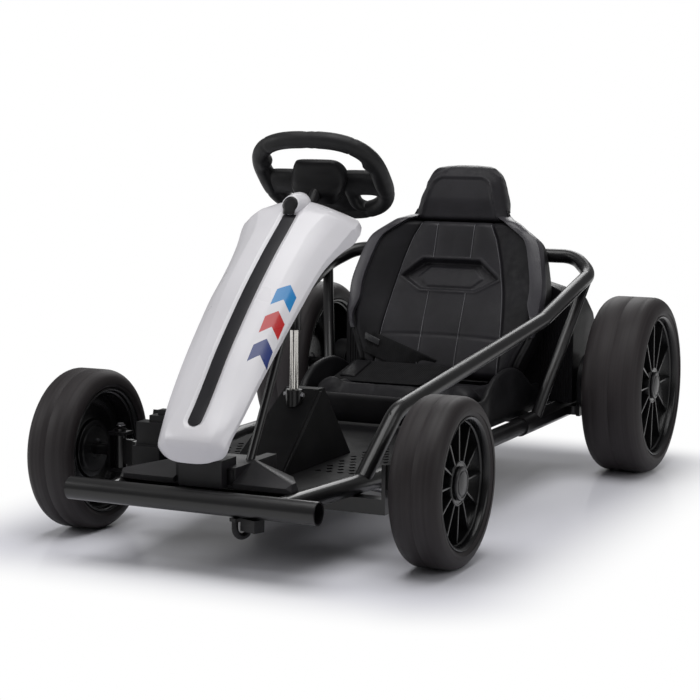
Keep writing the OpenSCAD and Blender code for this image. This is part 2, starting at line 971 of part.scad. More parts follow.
module headrest() {
    color("#202022")
        in_place()
            in_back_plane()
                skin([for (r = head_rows) concat(
                    across(r[0], [
                        [r[1], r[2] - 11], [r[1] - 6, r[2] - 3], [r[1] - 18, r[2]], [20, r[2] + 1]
                    ]),
                    reversed(across(r[0], [
                        [r[1], min(r[2] - 12, r[3] + 8)], [r[1] - 5, r[3] + 2], [r[1] - 18, r[3]], [20, r[3]]
                    ])))]);
}

// Rear

housing_x = -wheelbase + 52;

module rear_housing() {
    half = carrier_y - gap;
    color("#161617")
        in_place()
            difference() {
                intersection() {
                    translate([0, half, 0])
                        rotate([90, 0, 0])
                            linear_extrude(2 * half)
                                polygon([
                                    [housing_x, rail_z + sleeve_r + gap], [housing_x, 331],
                                    [housing_x - 20, 337], [housing_x - 100, 300],
                                    [housing_x - 130, 250], [housing_x - 130, rail_z + sleeve_r + gap]
                                ]);
                    translate([housing_x + 10, 0, 0])
                        rotate([0, -90, 0])
                            linear_extrude(150)
                                both_sides()
                                    polygon([
                                        [50, -1], [50, half + 1], [268, half + 1], [298, half - 8],
                                        [320, half - 26], [332, half - 52], [338, half - 90], [338, -1]
                                    ]);
                }
                translate([-wheelbase, -300, rear_r])
                    rotate([-90, 0, 0])
                        cylinder(r = axle_d / 2 + gap, h = 600);
            }
}

module rear_axle() {
    color("#8f9094")
        in_place()
            translate([-wheelbase, -rear_y - rim_deep(rear_w) + 3, rear_r])
                rotate([-90, 0, 0])
                    cylinder(r = axle_d / 2, h = 2 * (rear_y + rim_deep(rear_w) - 3));
}

module drive_motor(side) {
    color("#161617")
        in_place()
            translate([-wheelbase, side * (carrier_y + carrier_t + gap), rear_r])
                rotate([-90 * side, 0, 0])
                    difference() {
                        cylinder(r = 48, h = rear_y - rear_w / 2 - carrier_y - carrier_t - 6);
                        translate([0, 0, -1])
                            cylinder(r = axle_d / 2 + gap, h = 60);
                    }
}

module drive_motor_left() {
    drive_motor(1);
}

module drive_motor_right() {
    drive_motor(-1);
}

// Wheels

module tyre(r, w, sidewall) {
    c = 0.14 * r;
    inner = r - sidewall;
    rotate([90, 0, 0])
        rotate_extrude($fn = 96)
            intersection() {
                translate([inner, -w / 2])
                    square([sidewall, w]);
                union() {
                    translate([inner - 10, -w / 2 + c])
                        square([sidewall + 10, w - 2 * c]);
                    translate([inner - 10, -w / 2])
                        square([sidewall + 10 - c, w]);
                    for (s = [-1, 1])
                        translate([r - c, s * (w / 2 - c)])
                            circle(r = c);
                }
            }
}

function rim_half(w) = w / 2 - 3;
function rim_deep(w) = rim_half(w) - 9;
web_back = 24;
web_t = 5;

module rim(r, w, sidewall, bore_r) {
    outer = r - sidewall - gap;
    half = rim_half(w);
    deep = rim_deep(w);
    rotate([-90, 0, 0])
        difference() {
            union() {
                rotate_extrude($fn = 96)
                    polygon([
                        [outer, -half], [outer, half], [outer - 5, half], [outer - 9, deep],
                        [outer - 9, -half + 10], [outer - 5, -half]
                    ]);
                translate([0, 0, -half])
                    cylinder(r = bore_r + 10, h = half + deep);
                for (k = [0:spokes - 1])
                    rotate([0, 0, 360 * k / spokes])
                        translate([bore_r + 8, -spoke_w / 2, deep - web_back + 1])
                            cube([outer - 9 - bore_r - 6, spoke_w, web_back - 3]);
                translate([0, 0, deep])
                    cylinder(r = bore_r + 16, h = 6);
                translate([0, 0, deep - web_back - web_t])
                    cylinder(r = outer - 7, h = web_t, $fn = 96);
                translate([0, 0, deep - web_back - web_t - 7])
                    cylinder(r = (outer - 7) / 2, h = 8);
            }
            translate([0, 0, -half - 1])
                cylinder(r = bore_r + run, h = half + deep - 1);
        }
}

module at_wheel(x, y, r) {
    in_place()
        translate([x, y, r])
            mirror([0, y < 0 ? 1 : 0, 0])
                children();
}

module tyre_front_left() {
    color("#2c2827")
        at_wheel(0, front_y, front_r)
            tyre(front_r, front_w, front_side);
}

module tyre_front_right() {
    color("#2c2827")
        at_wheel(0, -front_y, front_r)
            tyre(front_r, front_w, front_side);
}

module tyre_rear_left() {
    color("#2c2827")
        at_wheel(-wheelbase, rear_y, rear_r)
            tyre(rear_r, rear_w, rear_side);
}

module tyre_rear_right() {
    color("#2c2827")
        at_wheel(-wheelbase, -rear_y, rear_r)
            tyre(rear_r, rear_w, rear_side);
}

module rim_front_left() {
    color("#0c0c0d")
        at_wheel(0, front_y, front_r)
            rim(front_r, front_w, front_side, stub_d / 2);
}

module rim_front_right() {
    color("#0c0c0d")
        at_wheel(0, -front_y, front_r)
            rim(front_r, front_w, front_side, stub_d / 2);
}

module rim_rear_left() {
    color("#0c0c0d")
        at_wheel(-wheelbase, rear_y, rear_r)
            rim(rear_r, rear_w, rear_side, axle_d / 2);
}

module rim_rear_right() {
    color("#0c0c0d")
        at_wheel(-wheelbase, -rear_y, rear_r)
            rim(rear_r, rear_w, rear_side, axle_d / 2);
}

front_bumper();
main_rails();
rear_frame();
side_hoop();
hoop_struts();
front_axle_beam();
floor_pan();
nose_base();
tow_loop();
throttle_pedal();
console();
shaft_collar();
fairing_stays();
nose_fairing();
nose_stripe();
seat_base();
battery_block();
seat_cushion();
seat_shell();
seat_back_pad();
headrest();
rear_housing();
rear_axle();
drive_motor_left();
drive_motor_right();
knuckle_left();
knuckle_right();
tie_rod_left();
tie_rod_right();
steering_shaft();
upper_column();
steering_hub();
steering_rim();
tyre_front_left();
rim_front_left();
tyre_front_right();
rim_front_right();
tyre_rear_left();
rim_rear_left();
tyre_rear_right();
rim_rear_right();
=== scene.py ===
import json
import math

import bmesh
import bpy
from mathutils import Matrix, Vector


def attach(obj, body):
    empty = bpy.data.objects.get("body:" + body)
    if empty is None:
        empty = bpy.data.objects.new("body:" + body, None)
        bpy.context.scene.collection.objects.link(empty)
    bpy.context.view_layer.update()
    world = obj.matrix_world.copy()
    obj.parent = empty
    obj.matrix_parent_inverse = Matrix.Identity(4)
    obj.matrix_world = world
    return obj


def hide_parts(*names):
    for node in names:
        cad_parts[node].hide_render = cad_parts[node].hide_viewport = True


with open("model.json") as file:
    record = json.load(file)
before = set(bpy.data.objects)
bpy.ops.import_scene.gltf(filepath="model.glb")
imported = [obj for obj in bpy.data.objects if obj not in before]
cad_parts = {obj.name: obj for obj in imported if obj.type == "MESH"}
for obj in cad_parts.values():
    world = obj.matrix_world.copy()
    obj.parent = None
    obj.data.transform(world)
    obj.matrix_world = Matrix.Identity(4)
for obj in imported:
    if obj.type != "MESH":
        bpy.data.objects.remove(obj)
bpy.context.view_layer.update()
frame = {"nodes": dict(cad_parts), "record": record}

scene = bpy.context.scene
bodyOf = {n: b for b, nodes in frame["record"]["behaviour"]["bodies"].items() for n in nodes}

# The kart is drawn from the front axle, in millimetres, and placed by these helpers in metres
place = {"frontX": 0.3875, "rake": 44, "recline": 16.5, "noseFoot": (199, 207), "backFoot": (-701, 184),
         "wheelMiddle": (-208, 530)}
sinRake, cosRake = math.sin(math.radians(place["rake"])), math.cos(math.radians(place["rake"]))
sinBack, cosBack = math.sin(math.radians(place["recline"])), math.cos(math.radians(place["recline"]))


def kart(x, y, z):
    return Vector((x / 1000 + place["frontX"], y / 1000, z / 1000))


def slope(s, v, y):  # s runs up the nose, v stands off it
    x, z = place["noseFoot"]
    return kart(x - s * cosRake + v * sinRake, y, z + s * sinRake + v * cosRake)


def onBack(t, y, depth):  # t runs up the backrest, depth goes back through it
    x, z = place["backFoot"]
    return kart(x - t * sinBack - depth * cosBack, y, z + t * cosBack - depth * sinBack)


def onWheel(x, y, z):  # x runs down the wheel's face, z down the column
    cx, cz = place["wheelMiddle"]
    return kart(cx - x * cosRake + z * sinRake, y, cz - x * sinRake - z * cosRake)


# Camera, floor and light
def addCamera():
    view = {"spot": (2.6979, 1.1985, 0.6059), "yaw": -155.456, "pitch": -6.993, "roll": 0.585, "lens": 94.13}
    yaw, pitch, roll = (math.radians(view[k]) for k in ("yaw", "pitch", "roll"))
    ahead = Vector((math.cos(pitch) * math.cos(yaw), math.cos(pitch) * math.sin(yaw), math.sin(pitch)))
    right = ahead.cross(Vector((0, 0, 1))).normalized()
    up = right.cross(ahead)
    across = right * math.cos(roll) + up * math.sin(roll)
    upright = up * math.cos(roll) - right * math.sin(roll)
    camera = bpy.data.objects.new("camera", bpy.data.cameras.new("camera"))
    camera.data.lens = view["lens"]
    camera.data.sensor_width = 36
    turn = Matrix((across, upright, -ahead)).transposed().to_4x4()
    camera.matrix_world = Matrix.Translation(view["spot"]) @ turn
    scene.collection.objects.link(camera)
    scene.camera = camera


def addNode(tree, kind, inputs=None, **settings):
    made = tree.nodes.new("ShaderNode" + kind)
    for key, value in settings.items():
        setattr(made, key, value)
    for key, value in (inputs or {}).items():
        if isinstance(value, bpy.types.NodeSocket):
            tree.links.new(value, made.inputs[key])
        else:
            made.inputs[key].default_value = value
    return made


def addFloor():
    half = 14.0
    bm = bmesh.new()
    bmesh.ops.create_grid(bm, x_segments=1, y_segments=1, size=half)
    mesh = bpy.data.meshes.new("floor")
    bm.to_mesh(mesh)
    bm.free()
    floor = bpy.data.objects.new("floor", mesh)
    scene.collection.objects.link(floor)
    mat = bpy.data.materials.new("floor")
    mat.use_nodes = True
    tree = mat.node_tree
    shader = tree.nodes["Principled BSDF"]
    shader.inputs["Base Color"].default_value = (0.84, 0.84, 0.90, 1)
    shader.inputs["Roughness"].default_value = 0.16
    shader.inputs["Specular IOR Level"].default_value = 0.6
    spot = addNode(tree, "TexCoord").outputs["Object"]
    off = addNode(tree, "VectorMath", {0: spot}, operation="ABSOLUTE").outputs["Vector"]
    off = addNode(tree, "VectorMath", {0: off, 1: (0.52, 0.31, 0)}, operation="SUBTRACT").outputs["Vector"]
    off = addNode(tree, "VectorMath", {0: off, 1: (0, 0, 0)}, operation="MAXIMUM").outputs["Vector"]
    away = addNode(tree, "VectorMath", {0: off}, operation="LENGTH").outputs["Value"]
    fade = addNode(tree, "MapRange", {"Value": away, "From Min": 0.02, "From Max": 0.22},
                   interpolation_type="SMOOTHSTEP").outputs["Result"]
    path = addNode(tree, "LightPath").outputs
    seen = addNode(tree, "Math", {0: path["Is Camera Ray"], 1: path["Is Glossy Ray"]}, operation="MAXIMUM")
    mask = addNode(tree, "Math", {0: fade, 1: seen.outputs[0]}, operation="MULTIPLY").outputs[0]
    white = addNode(tree, "Emission", {"Color": (1, 1, 1, 1), "Strength": 1.0}).outputs[0]
    mix = addNode(tree, "MixShader", {0: mask, 1: shader.outputs[0], 2: white})
    tree.links.new(mix.outputs[0], tree.nodes["Material Output"].inputs["Surface"])
    mesh.materials.append(mat)


def addWorld():
    world = bpy.data.worlds.new("studio")
    scene.world = world
    world.use_nodes = True
    tree = world.node_tree
    plain = tree.nodes["Background"]
    plain.inputs["Color"].default_value = (1, 1, 1, 1)
    plain.inputs["Strength"].default_value = 0.24
    white = addNode(tree, "Background", {"Color": (1, 1, 1, 1), "Strength": 1.0}).outputs[0]
    path = addNode(tree, "LightPath").outputs
    mix = addNode(tree, "MixShader", {0: path["Is Camera Ray"], 1: plain.outputs[0], 2: white})
    tree.links.new(mix.outputs[0], tree.nodes["World Output"].inputs["Surface"])


def addLamps():
    lamps = [  # name, place, aimed at, size, power
        ("overhead", (0.5, 0.1, 2.6), (0, 0, 0.2), 2.0, 48),
        ("leftBox", (0.9, 2.6, 1.5), (0, 0, 0.3), 1.5, 14),
        ("rightBox", (1.4, -2.4, 1.6), (0, 0, 0.3), 1.4, 22),
        ("backBox", (-2.4, -0.6, 1.7), (0, 0, 0.3), 1.5, 24),
    ]
    for name, spot, aim, size, power in lamps:
        light = bpy.data.lights.new(name, "AREA")
        light.size = size
        light.energy = power
        lamp = bpy.data.objects.new(name, light)
        lamp.location = spot
        lamp.rotation_euler = (Vector(aim) - Vector(spot)).to_track_quat("-Z", "Y").to_euler()
        scene.collection.objects.link(lamp)


scene.view_settings.view_transform = "Standard"
addCamera()
addFloor()
addWorld()
addLamps()
print("camera, floor and light are set")


# Finishes
def newFinish(name, roughness, metallic=0.0, specular=0.5, coat=0.0, coatRoughness=0.08, sheen=0.0):
    mat = bpy.data.materials.new(name)
    mat.use_nodes = True
    shader = mat.node_tree.nodes["Principled BSDF"]
    shader.inputs["Roughness"].default_value = roughness
    shader.inputs["Metallic"].default_value = metallic
    shader.inputs["Specular IOR Level"].default_value = specular
    shader.inputs["Coat Weight"].default_value = coat
    shader.inputs["Coat Roughness"].default_value = coatRoughness
    shader.inputs["Sheen Weight"].default_value = sheen
    coords = addNode(mat.node_tree, "TexCoord").outputs["Object"]
    return mat, mat.node_tree, shader, coords


def tones(tree, coords, scale, dark, light, detail=4.0, low=0.35, high=0.65):
    noise = addNode(tree, "TexNoise", {"Vector": coords, "Scale": scale, "Detail": detail})
    ramp = addNode(tree, "ValToRGB", {"Fac": noise.outputs["Fac"]})
    ramp.color_ramp.elements[0].position = low
    ramp.color_ramp.elements[1].position = high
    ramp.color_ramp.elements[0].color = (*dark, 1)
    ramp.color_ramp.elements[1].color = (*light, 1)
    return ramp.outputs["Color"]


def paint(tree, shader, coords, scale, dark, light):
    tree.links.new(tones(tree, coords, scale, dark, light), shader.inputs["Base Color"])


def spread(tree, value, low, high, fromLow=0.3, fromHigh=0.7):
    return addNode(tree, "MapRange", {"Value": value, "From Min": fromLow, "From Max": fromHigh,
                                      "To Min": low, "To Max": high}).outputs["Result"]


def bump(tree, shader, height, strength, distance):
    made = addNode(tree, "Bump", {"Height": height, "Strength": strength, "Distance": distance})
    tree.links.new(made.outputs["Normal"], shader.inputs["Normal"])


def paintedTube():  # black powder coat with a soft orange peel
    mat, tree, shader, coords = newFinish("frameBlack", 0.3, specular=0.36, coat=0.18, coatRoughness=0.16)
    paint(tree, shader, coords, 9, (0.004, 0.0038, 0.0042), (0.008, 0.0076, 0.0084))
    peel = addNode(tree, "TexNoise", {"Vector": coords, "Scale": 420, "Detail": 2.0}).outputs["Fac"]
    rub = addNode(tree, "TexNoise", {"Vector": coords, "Scale": 14, "Detail": 6.0}).outputs["Fac"]
    tree.links.new(spread(tree, rub, 0.30, 0.35), shader.inputs["Roughness"])
    bump(tree, shader, peel, 0.05, 0.0005)
    return mat


def mouldedPlastic(name, dark, light, rough, grain=900, gloss=0.3):
    mat, tree, shader, coords = newFinish(name, 0.5, specular=gloss)
    paint(tree, shader, coords, 22, dark, light)
    fine = addNode(tree, "TexVoronoi", {"Vector": coords, "Scale": grain}).outputs["Distance"]
    rub = addNode(tree, "TexNoise", {"Vector": coords, "Scale": 18, "Detail": 5.0}).outputs["Fac"]
    tree.links.new(spread(tree, rub, rough[0], rough[1]), shader.inputs["Roughness"])
    bump(tree, shader, fine, 0.2, 0.0004)
    return mat


def seatLeather(name, dark, light, gloss=0.24):
    mat, tree, shader, coords = newFinish(name, 0.5, specular=gloss, sheen=gloss / 8)
    paint(tree, shader, coords, 16, dark, light)
    pebble = addNode(tree, "TexVoronoi", {"Vector": coords, "Scale": 620},
                     feature="SMOOTH_F1").outputs["Distance"]
    crease = addNode(tree, "TexNoise", {"Vector": coords, "Scale": 85, "Detail": 6.0}).outputs["Fac"]
    both = addNode(tree, "Math", {0: pebble, 1: crease}, operation="ADD").outputs[0]
    tree.links.new(spread(tree, crease, 0.42, 0.58), shader.inputs["Roughness"])
    bump(tree, shader, both, 0.22, 0.0006)
    return mat


def slickRubber(name, middle):
    mat, tree, shader, coords = newFinish(name, 0.6, specular=0.28)
    centred = addNode(tree, "Mapping", {"Vector": coords, "Location": (-middle[0], 0, -middle[2])}).outputs[0]
    parts = addNode(tree, "SeparateXYZ", {0: centred}).outputs
    flat = addNode(tree, "CombineXYZ", {"X": parts["X"], "Z": parts["Z"]}).outputs[0]
    radius = addNode(tree, "VectorMath", {0: flat}, operation="LENGTH").outputs["Value"]
    ring = addNode(tree, "CombineXYZ", {"X": radius, "Y": parts["Y"]}).outputs[0]
    streak = addNode(tree, "TexNoise", {"Vector": ring, "Scale": 260, "Detail": 3.0}).outputs["Fac"]
    cloud = addNode(tree, "TexNoise", {"Vector": coords, "Scale": 11, "Detail": 5.0}).outputs["Fac"]
    blend = addNode(tree, "Math", {0: streak, 1: cloud}, operation="ADD").outputs[0]
    ramp = addNode(tree, "ValToRGB", {"Fac": spread(tree, blend, 0, 1, 0.8, 1.2)})
    ramp.color_ramp.elements[0].color = (0.0125, 0.0098, 0.0105, 1)
    ramp.color_ramp.elements[1].color = (0.020, 0.0165, 0.0175, 1)
    tree.links.new(ramp.outputs[0], shader.inputs["Base Color"])
    tree.links.new(spread(tree, cloud, 0.5, 0.66), shader.inputs["Roughness"])
    pores = addNode(tree, "TexNoise", {"Vector": coords, "Scale": 700, "Detail": 2.0}).outputs["Fac"]
    rough = addNode(tree, "Math", {0: streak, 1: pores}, operation="ADD").outputs[0]
    bump(tree, shader, rough, 0.1, 0.0004)
    return mat


def brightMetal(name, colour, rough):
    mat, tree, shader, coords = newFinish(name, rough[0], metallic=1.0)
    paint(tree, shader, coords, 30, tuple(c * 0.82 for c in colour), colour)
    brushed = addNode(tree, "Mapping", {"Vector": coords, "Scale": (60, 60, 900)}).outputs[0]
    lines = addNode(tree, "TexNoise", {"Vector": brushed, "Scale": 1.0, "Detail": 3.0}).outputs["Fac"]
    tree.links.new(spread(tree, lines, rough[0], rough[1]), shader.inputs["Roughness"])
    bump(tree, shader, lines, 0.05, 0.0003)
    return mat


def fairingPaint():  # white gloss, with three coloured chevrons in a row on the left facet
    mat, tree, shader, coords = newFinish("fairingWhite", 0.3, specular=0.4, coat=0.2, coatRoughness=0.12)
    sheet = tones(tree, coords, 6, (0.57, 0.56, 0.585), (0.62, 0.61, 0.635))
    foot = slope(0, 0, 0)
    upSlope = addNode(tree, "VectorMath", {0: coords, 1: (-cosRake, 0, sinRake)}, operation="DOT_PRODUCT")
    start = -foot.x * cosRake + foot.z * sinRake
    run = addNode(tree, "Math", {0: upSlope.outputs["Value"], 1: start}, operation="SUBTRACT").outputs[0]
    side = addNode(tree, "SeparateXYZ", {0: coords}).outputs["Y"]
    marks = {"middle": 0.053, "half": 0.0125, "length": 0.029,  # metres across and up the slope
             "rows": [(0.146, (0.003, 0.018, 0.13)), (0.196, (0.40, 0.004, 0.006)),
                      (0.246, (0.001, 0.17, 0.42))]}
    off = addNode(tree, "Math", {0: side, 1: marks["middle"]}, operation="SUBTRACT").outputs[0]
    off = addNode(tree, "Math", {0: off}, operation="ABSOLUTE").outputs[0]
    within = addNode(tree, "Math", {0: off, 1: marks["half"]}, operation="LESS_THAN").outputs[0]
    bent = addNode(tree, "Math", {0: off, 1: 1.3, 2: run}, operation="MULTIPLY_ADD").outputs[0]
    for row, colour in marks["rows"]:
        band = addNode(tree, "Math", {0: bent, 1: row, 2: marks["length"] / 2},
                       operation="COMPARE").outputs[0]
        mask = addNode(tree, "Math", {0: band, 1: within}, operation="MULTIPLY").outputs[0]
        mix = addNode(tree, "Mix", {"Factor": mask}, data_type="RGBA")
        tree.links.new(sheet, mix.inputs[6])
        mix.inputs[7].default_value = (*colour, 1)
        sheet = mix.outputs[2]
    tree.links.new(sheet, shader.inputs["Base Color"])
    rub = addNode(tree, "TexNoise", {"Vector": coords, "Scale": 12, "Detail": 5.0}).outputs["Fac"]
    tree.links.new(spread(tree, rub, 0.26, 0.36), shader.inputs["Roughness"])
    peel = addNode(tree, "TexNoise", {"Vector": coords, "Scale": 260, "Detail": 2.0}).outputs["Fac"]
    bump(tree, shader, peel, 0.04, 0.0004)
    return mat


def webbing(name, dark, light, ribs):
    mat, tree, shader, coords = newFinish(name, 0.72, specular=0.14, sheen=0.02)
    paint(tree, shader, coords, 60, dark, light)
    weave = addNode(tree, "TexWave", {"Vector": coords, "Scale": ribs, "Distortion": 0.4},
                    bands_direction="Y")
    bump(tree, shader, weave.outputs["Fac"], 0.5, 0.0007)
    return mat


frameBlack = paintedTube()
plasticBlack = mouldedPlastic("plasticBlack", (0.0035, 0.0033, 0.004), (0.0065, 0.0062, 0.0072), (0.38, 0.5),
                              gloss=0.2)
# darker black for the floor pan, also put on the console as painted shade
floorBlackAndConsoleShade = mouldedPlastic("floorBlackAndConsoleShade", (0.0022, 0.0021, 0.0025), (0.0045, 0.0043, 0.005), (0.5, 0.62), 600,
                            0.12)
shellTrim = mouldedPlastic("shellTrim", (0.032, 0.0305, 0.0355), (0.041, 0.0392, 0.0455), (0.30, 0.38), 1200,
                           0.4)
thread = mouldedPlastic("stitchThread", (0.10, 0.10, 0.11), (0.15, 0.15, 0.16), (0.6, 0.7), 2000)
trimGloss = mouldedPlastic("trimGloss", (0.018, 0.018, 0.0195), (0.026, 0.026, 0.028), (0.22, 0.3), 1500)
# a lighter copy of the black plastic for the nose block, as painted light for its top lit from above
blockBlackPaintedLight = mouldedPlastic("blockBlackPaintedLight", (0.009, 0.0086, 0.0098), (0.014, 0.0133, 0.0152), (0.4, 0.52), 900,
                            0.28)
beltBlack = webbing("beltBlack", (0.0025, 0.0025, 0.003), (0.006, 0.0057, 0.0065), 85)
rimBlack = mouldedPlastic("rimBlack", (0.004, 0.004, 0.0045), (0.007, 0.007, 0.0075), (0.14, 0.22), 1500)
capBlack = mouldedPlastic("capBlack", (0.010, 0.0095, 0.011), (0.015, 0.0145, 0.016), (0.26, 0.36), 1100)
stripeBlack = mouldedPlastic("stripeBlack", (0.0065, 0.0061, 0.0082), (0.010, 0.0094, 0.0122), (0.34, 0.44),
                             800, 0.2)
plateBlack = mouldedPlastic("plateBlack", (0.008, 0.008, 0.0085), (0.012, 0.012, 0.013), (0.2, 0.28), 1500)
gripLeather = seatLeather("gripLeather", (0.0045, 0.0045, 0.005), (0.008, 0.008, 0.0088))
leather = seatLeather("seatLeather", (0.0068, 0.0062, 0.0080), (0.0115, 0.0106, 0.0135))
# darker leather for the bolsters, also put on the cushion as painted shade: a shaded copy of the seat leather
sideLeatherAndCushionShade = seatLeather("sideLeatherAndCushionShade", (0.0036, 0.0033, 0.0043), (0.0064, 0.0059, 0.0077), 0.17)
chrome = brightMetal("shaftChrome", (0.62, 0.60, 0.57), (0.12, 0.28))
steel = brightMetal("brightSteel", (0.42, 0.42, 0.44), (0.28, 0.42))
whiteGloss = fairingPaint()
print("finishes are mixed")


# Making helpers
def loft(bm, rings):  # bridges closed rings of points and caps both ends
    loops = []
    for ring in rings:
        verts = [bm.verts.new(p) for p in ring]
        loops.append([bm.edges.new(pair) for pair in zip(verts, verts[1:] + verts[:1])])
    for a, b in zip(loops, loops[1:]):
        bmesh.ops.bridge_loops(bm, edges=a + b)
    for loop in (loops[0], loops[-1]):
        bmesh.ops.contextual_create(bm, geom=loop)


def closeEnds(bm):
    bmesh.ops.holes_fill(bm, edges=[e for e in bm.edges if e.is_boundary])


def softEdges(bm, offset, segments):
    bmesh.ops.bevel(bm, geom=bm.edges[:] + bm.verts[:], offset=offset, segments=segments, affect="EDGES",
                    profile=0.5, material=-1)


def toPiece(name, bm, finish, body, slot, replaces=(), angle=38, recalc=True):
    if recalc:
        bmesh.ops.recalc_face_normals(bm, faces=bm.faces)
    mesh = bpy.data.meshes.new(name)
    bm.to_mesh(mesh)
    bm.free()
    mesh.materials.append(finish)
    mesh.polygons.foreach_set("use_smooth", [True] * len(mesh.polygons))
    mesh.set_sharp_from_angle(angle=math.radians(angle))
    piece = bpy.data.objects.new(name, mesh)
    scene.collection.objects.link(piece)
    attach(piece, body)
    if replaces:
        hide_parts(*replaces)
    return piece


def subdivide(piece, levels):
    smooth = piece.modifiers.new("Subdivision", "SUBSURF")
    smooth.levels = smooth.render_levels = levels


def addWall(piece, thickness):
    wall = piece.modifiers.new("Solidify", "SOLIDIFY")
    wall.thickness = thickness
    wall.offset = -1


def addBevel(piece, width, degrees):
    edge = piece.modifiers.new("Bevel", "BEVEL")
    edge.width = width
    edge.segments = 2
    edge.limit_method = "ANGLE"
    edge.angle_limit = math.radians(degrees)
    return edge


def smoothCopy(node, finish, slot, bevel):  # a CAD node's own shape with clean shading and softer edges
    bm = bmesh.new()
    bm.from_mesh(frame["nodes"][node].data)
    bmesh.ops.remove_doubles(bm, verts=bm.verts, dist=1e-5)
    bmesh.ops.dissolve_limit(bm, angle_limit=math.radians(0.8), verts=bm.verts, edges=bm.edges)
    name = "".join(w.capitalize() if k else w for k, w in enumerate(node.split("_")))
    piece = toPiece(name, bm, finish, bodyOf[node], slot, (node,), 32, recalc=False)
    if bevel:
        addBevel(piece, bevel, 40).harden_normals = True


# Wheels
wheels = {
    "front_left": {"x": 0, "y": 287, "r": 120, "w": 75, "side": 26},
    "front_right": {"x": 0, "y": -287, "r": 120, "w": 75, "side": 26},
    "rear_left": {"x": -833, "y": 316, "r": 155, "w": 105, "side": 31},
    "rear_right": {"x": -833, "y": -316, "r": 155, "w": 105, "side": 31},
}


def spinRound(bm, profile, centre, outward, steps):
    # profile points are (radius, distance outward from the wheel's middle plane)
    verts = [bm.verts.new(centre + Vector((0, outward * a / 1000, r / 1000))) for r, a in profile]
    edges = [bm.edges.new(p) for p in zip(verts, verts[1:] + verts[:1])]
    bmesh.ops.spin(bm, geom=verts + edges, cent=centre, axis=(0, 1, 0), angle=math.tau, steps=steps,
                   use_merge=True)


def makeTyre(corner, w):
    centre = kart(w["x"], w["y"], w["r"])
    out = 1 if w["y"] > 0 else -1
    r, half, side = w["r"], w["w"] / 2, w["side"]
    c = 0.15 * r  # the shoulder's radius
    mouldLines = [(r - 0.7, 0.35), (r, 1.3), (r - 0.05, half - c - 2.6), (r - 0.6, half - c - 1.2)]
    shoulder = [(r - c + c * math.cos(a), half - c + c * math.sin(a))
                for a in (math.radians(d) for d in range(6, 86, 10))]
    wall = [(r - c - 3, half), (r - side + 9, half), (r - side + 6.5, half - 0.9), (r - side + 4, half - 1.2),
            (r - side + 2.2, half - 2.6), (r - side, half - 4)]
    outer = mouldLines + shoulder + wall
    bm = bmesh.new()
    spinRound(bm, outer + [(p, -a) for p, a in outer[::-1]], centre, out, 112)
    toPiece("tyre_" + corner + "_slick", bm, slickRubber("tyreRubber_" + corner, centre), corner + "_wheel",
            "slick_tyre", ("tyre_" + corner,), 50)


for corner, w in wheels.items():
    makeTyre(corner, w)
print("tyres are turned")


# Rims
rimLook = {"spokes": 12, "wide": 3.2, "foot": 6.5, "hubRing": 31, "cap": 24}


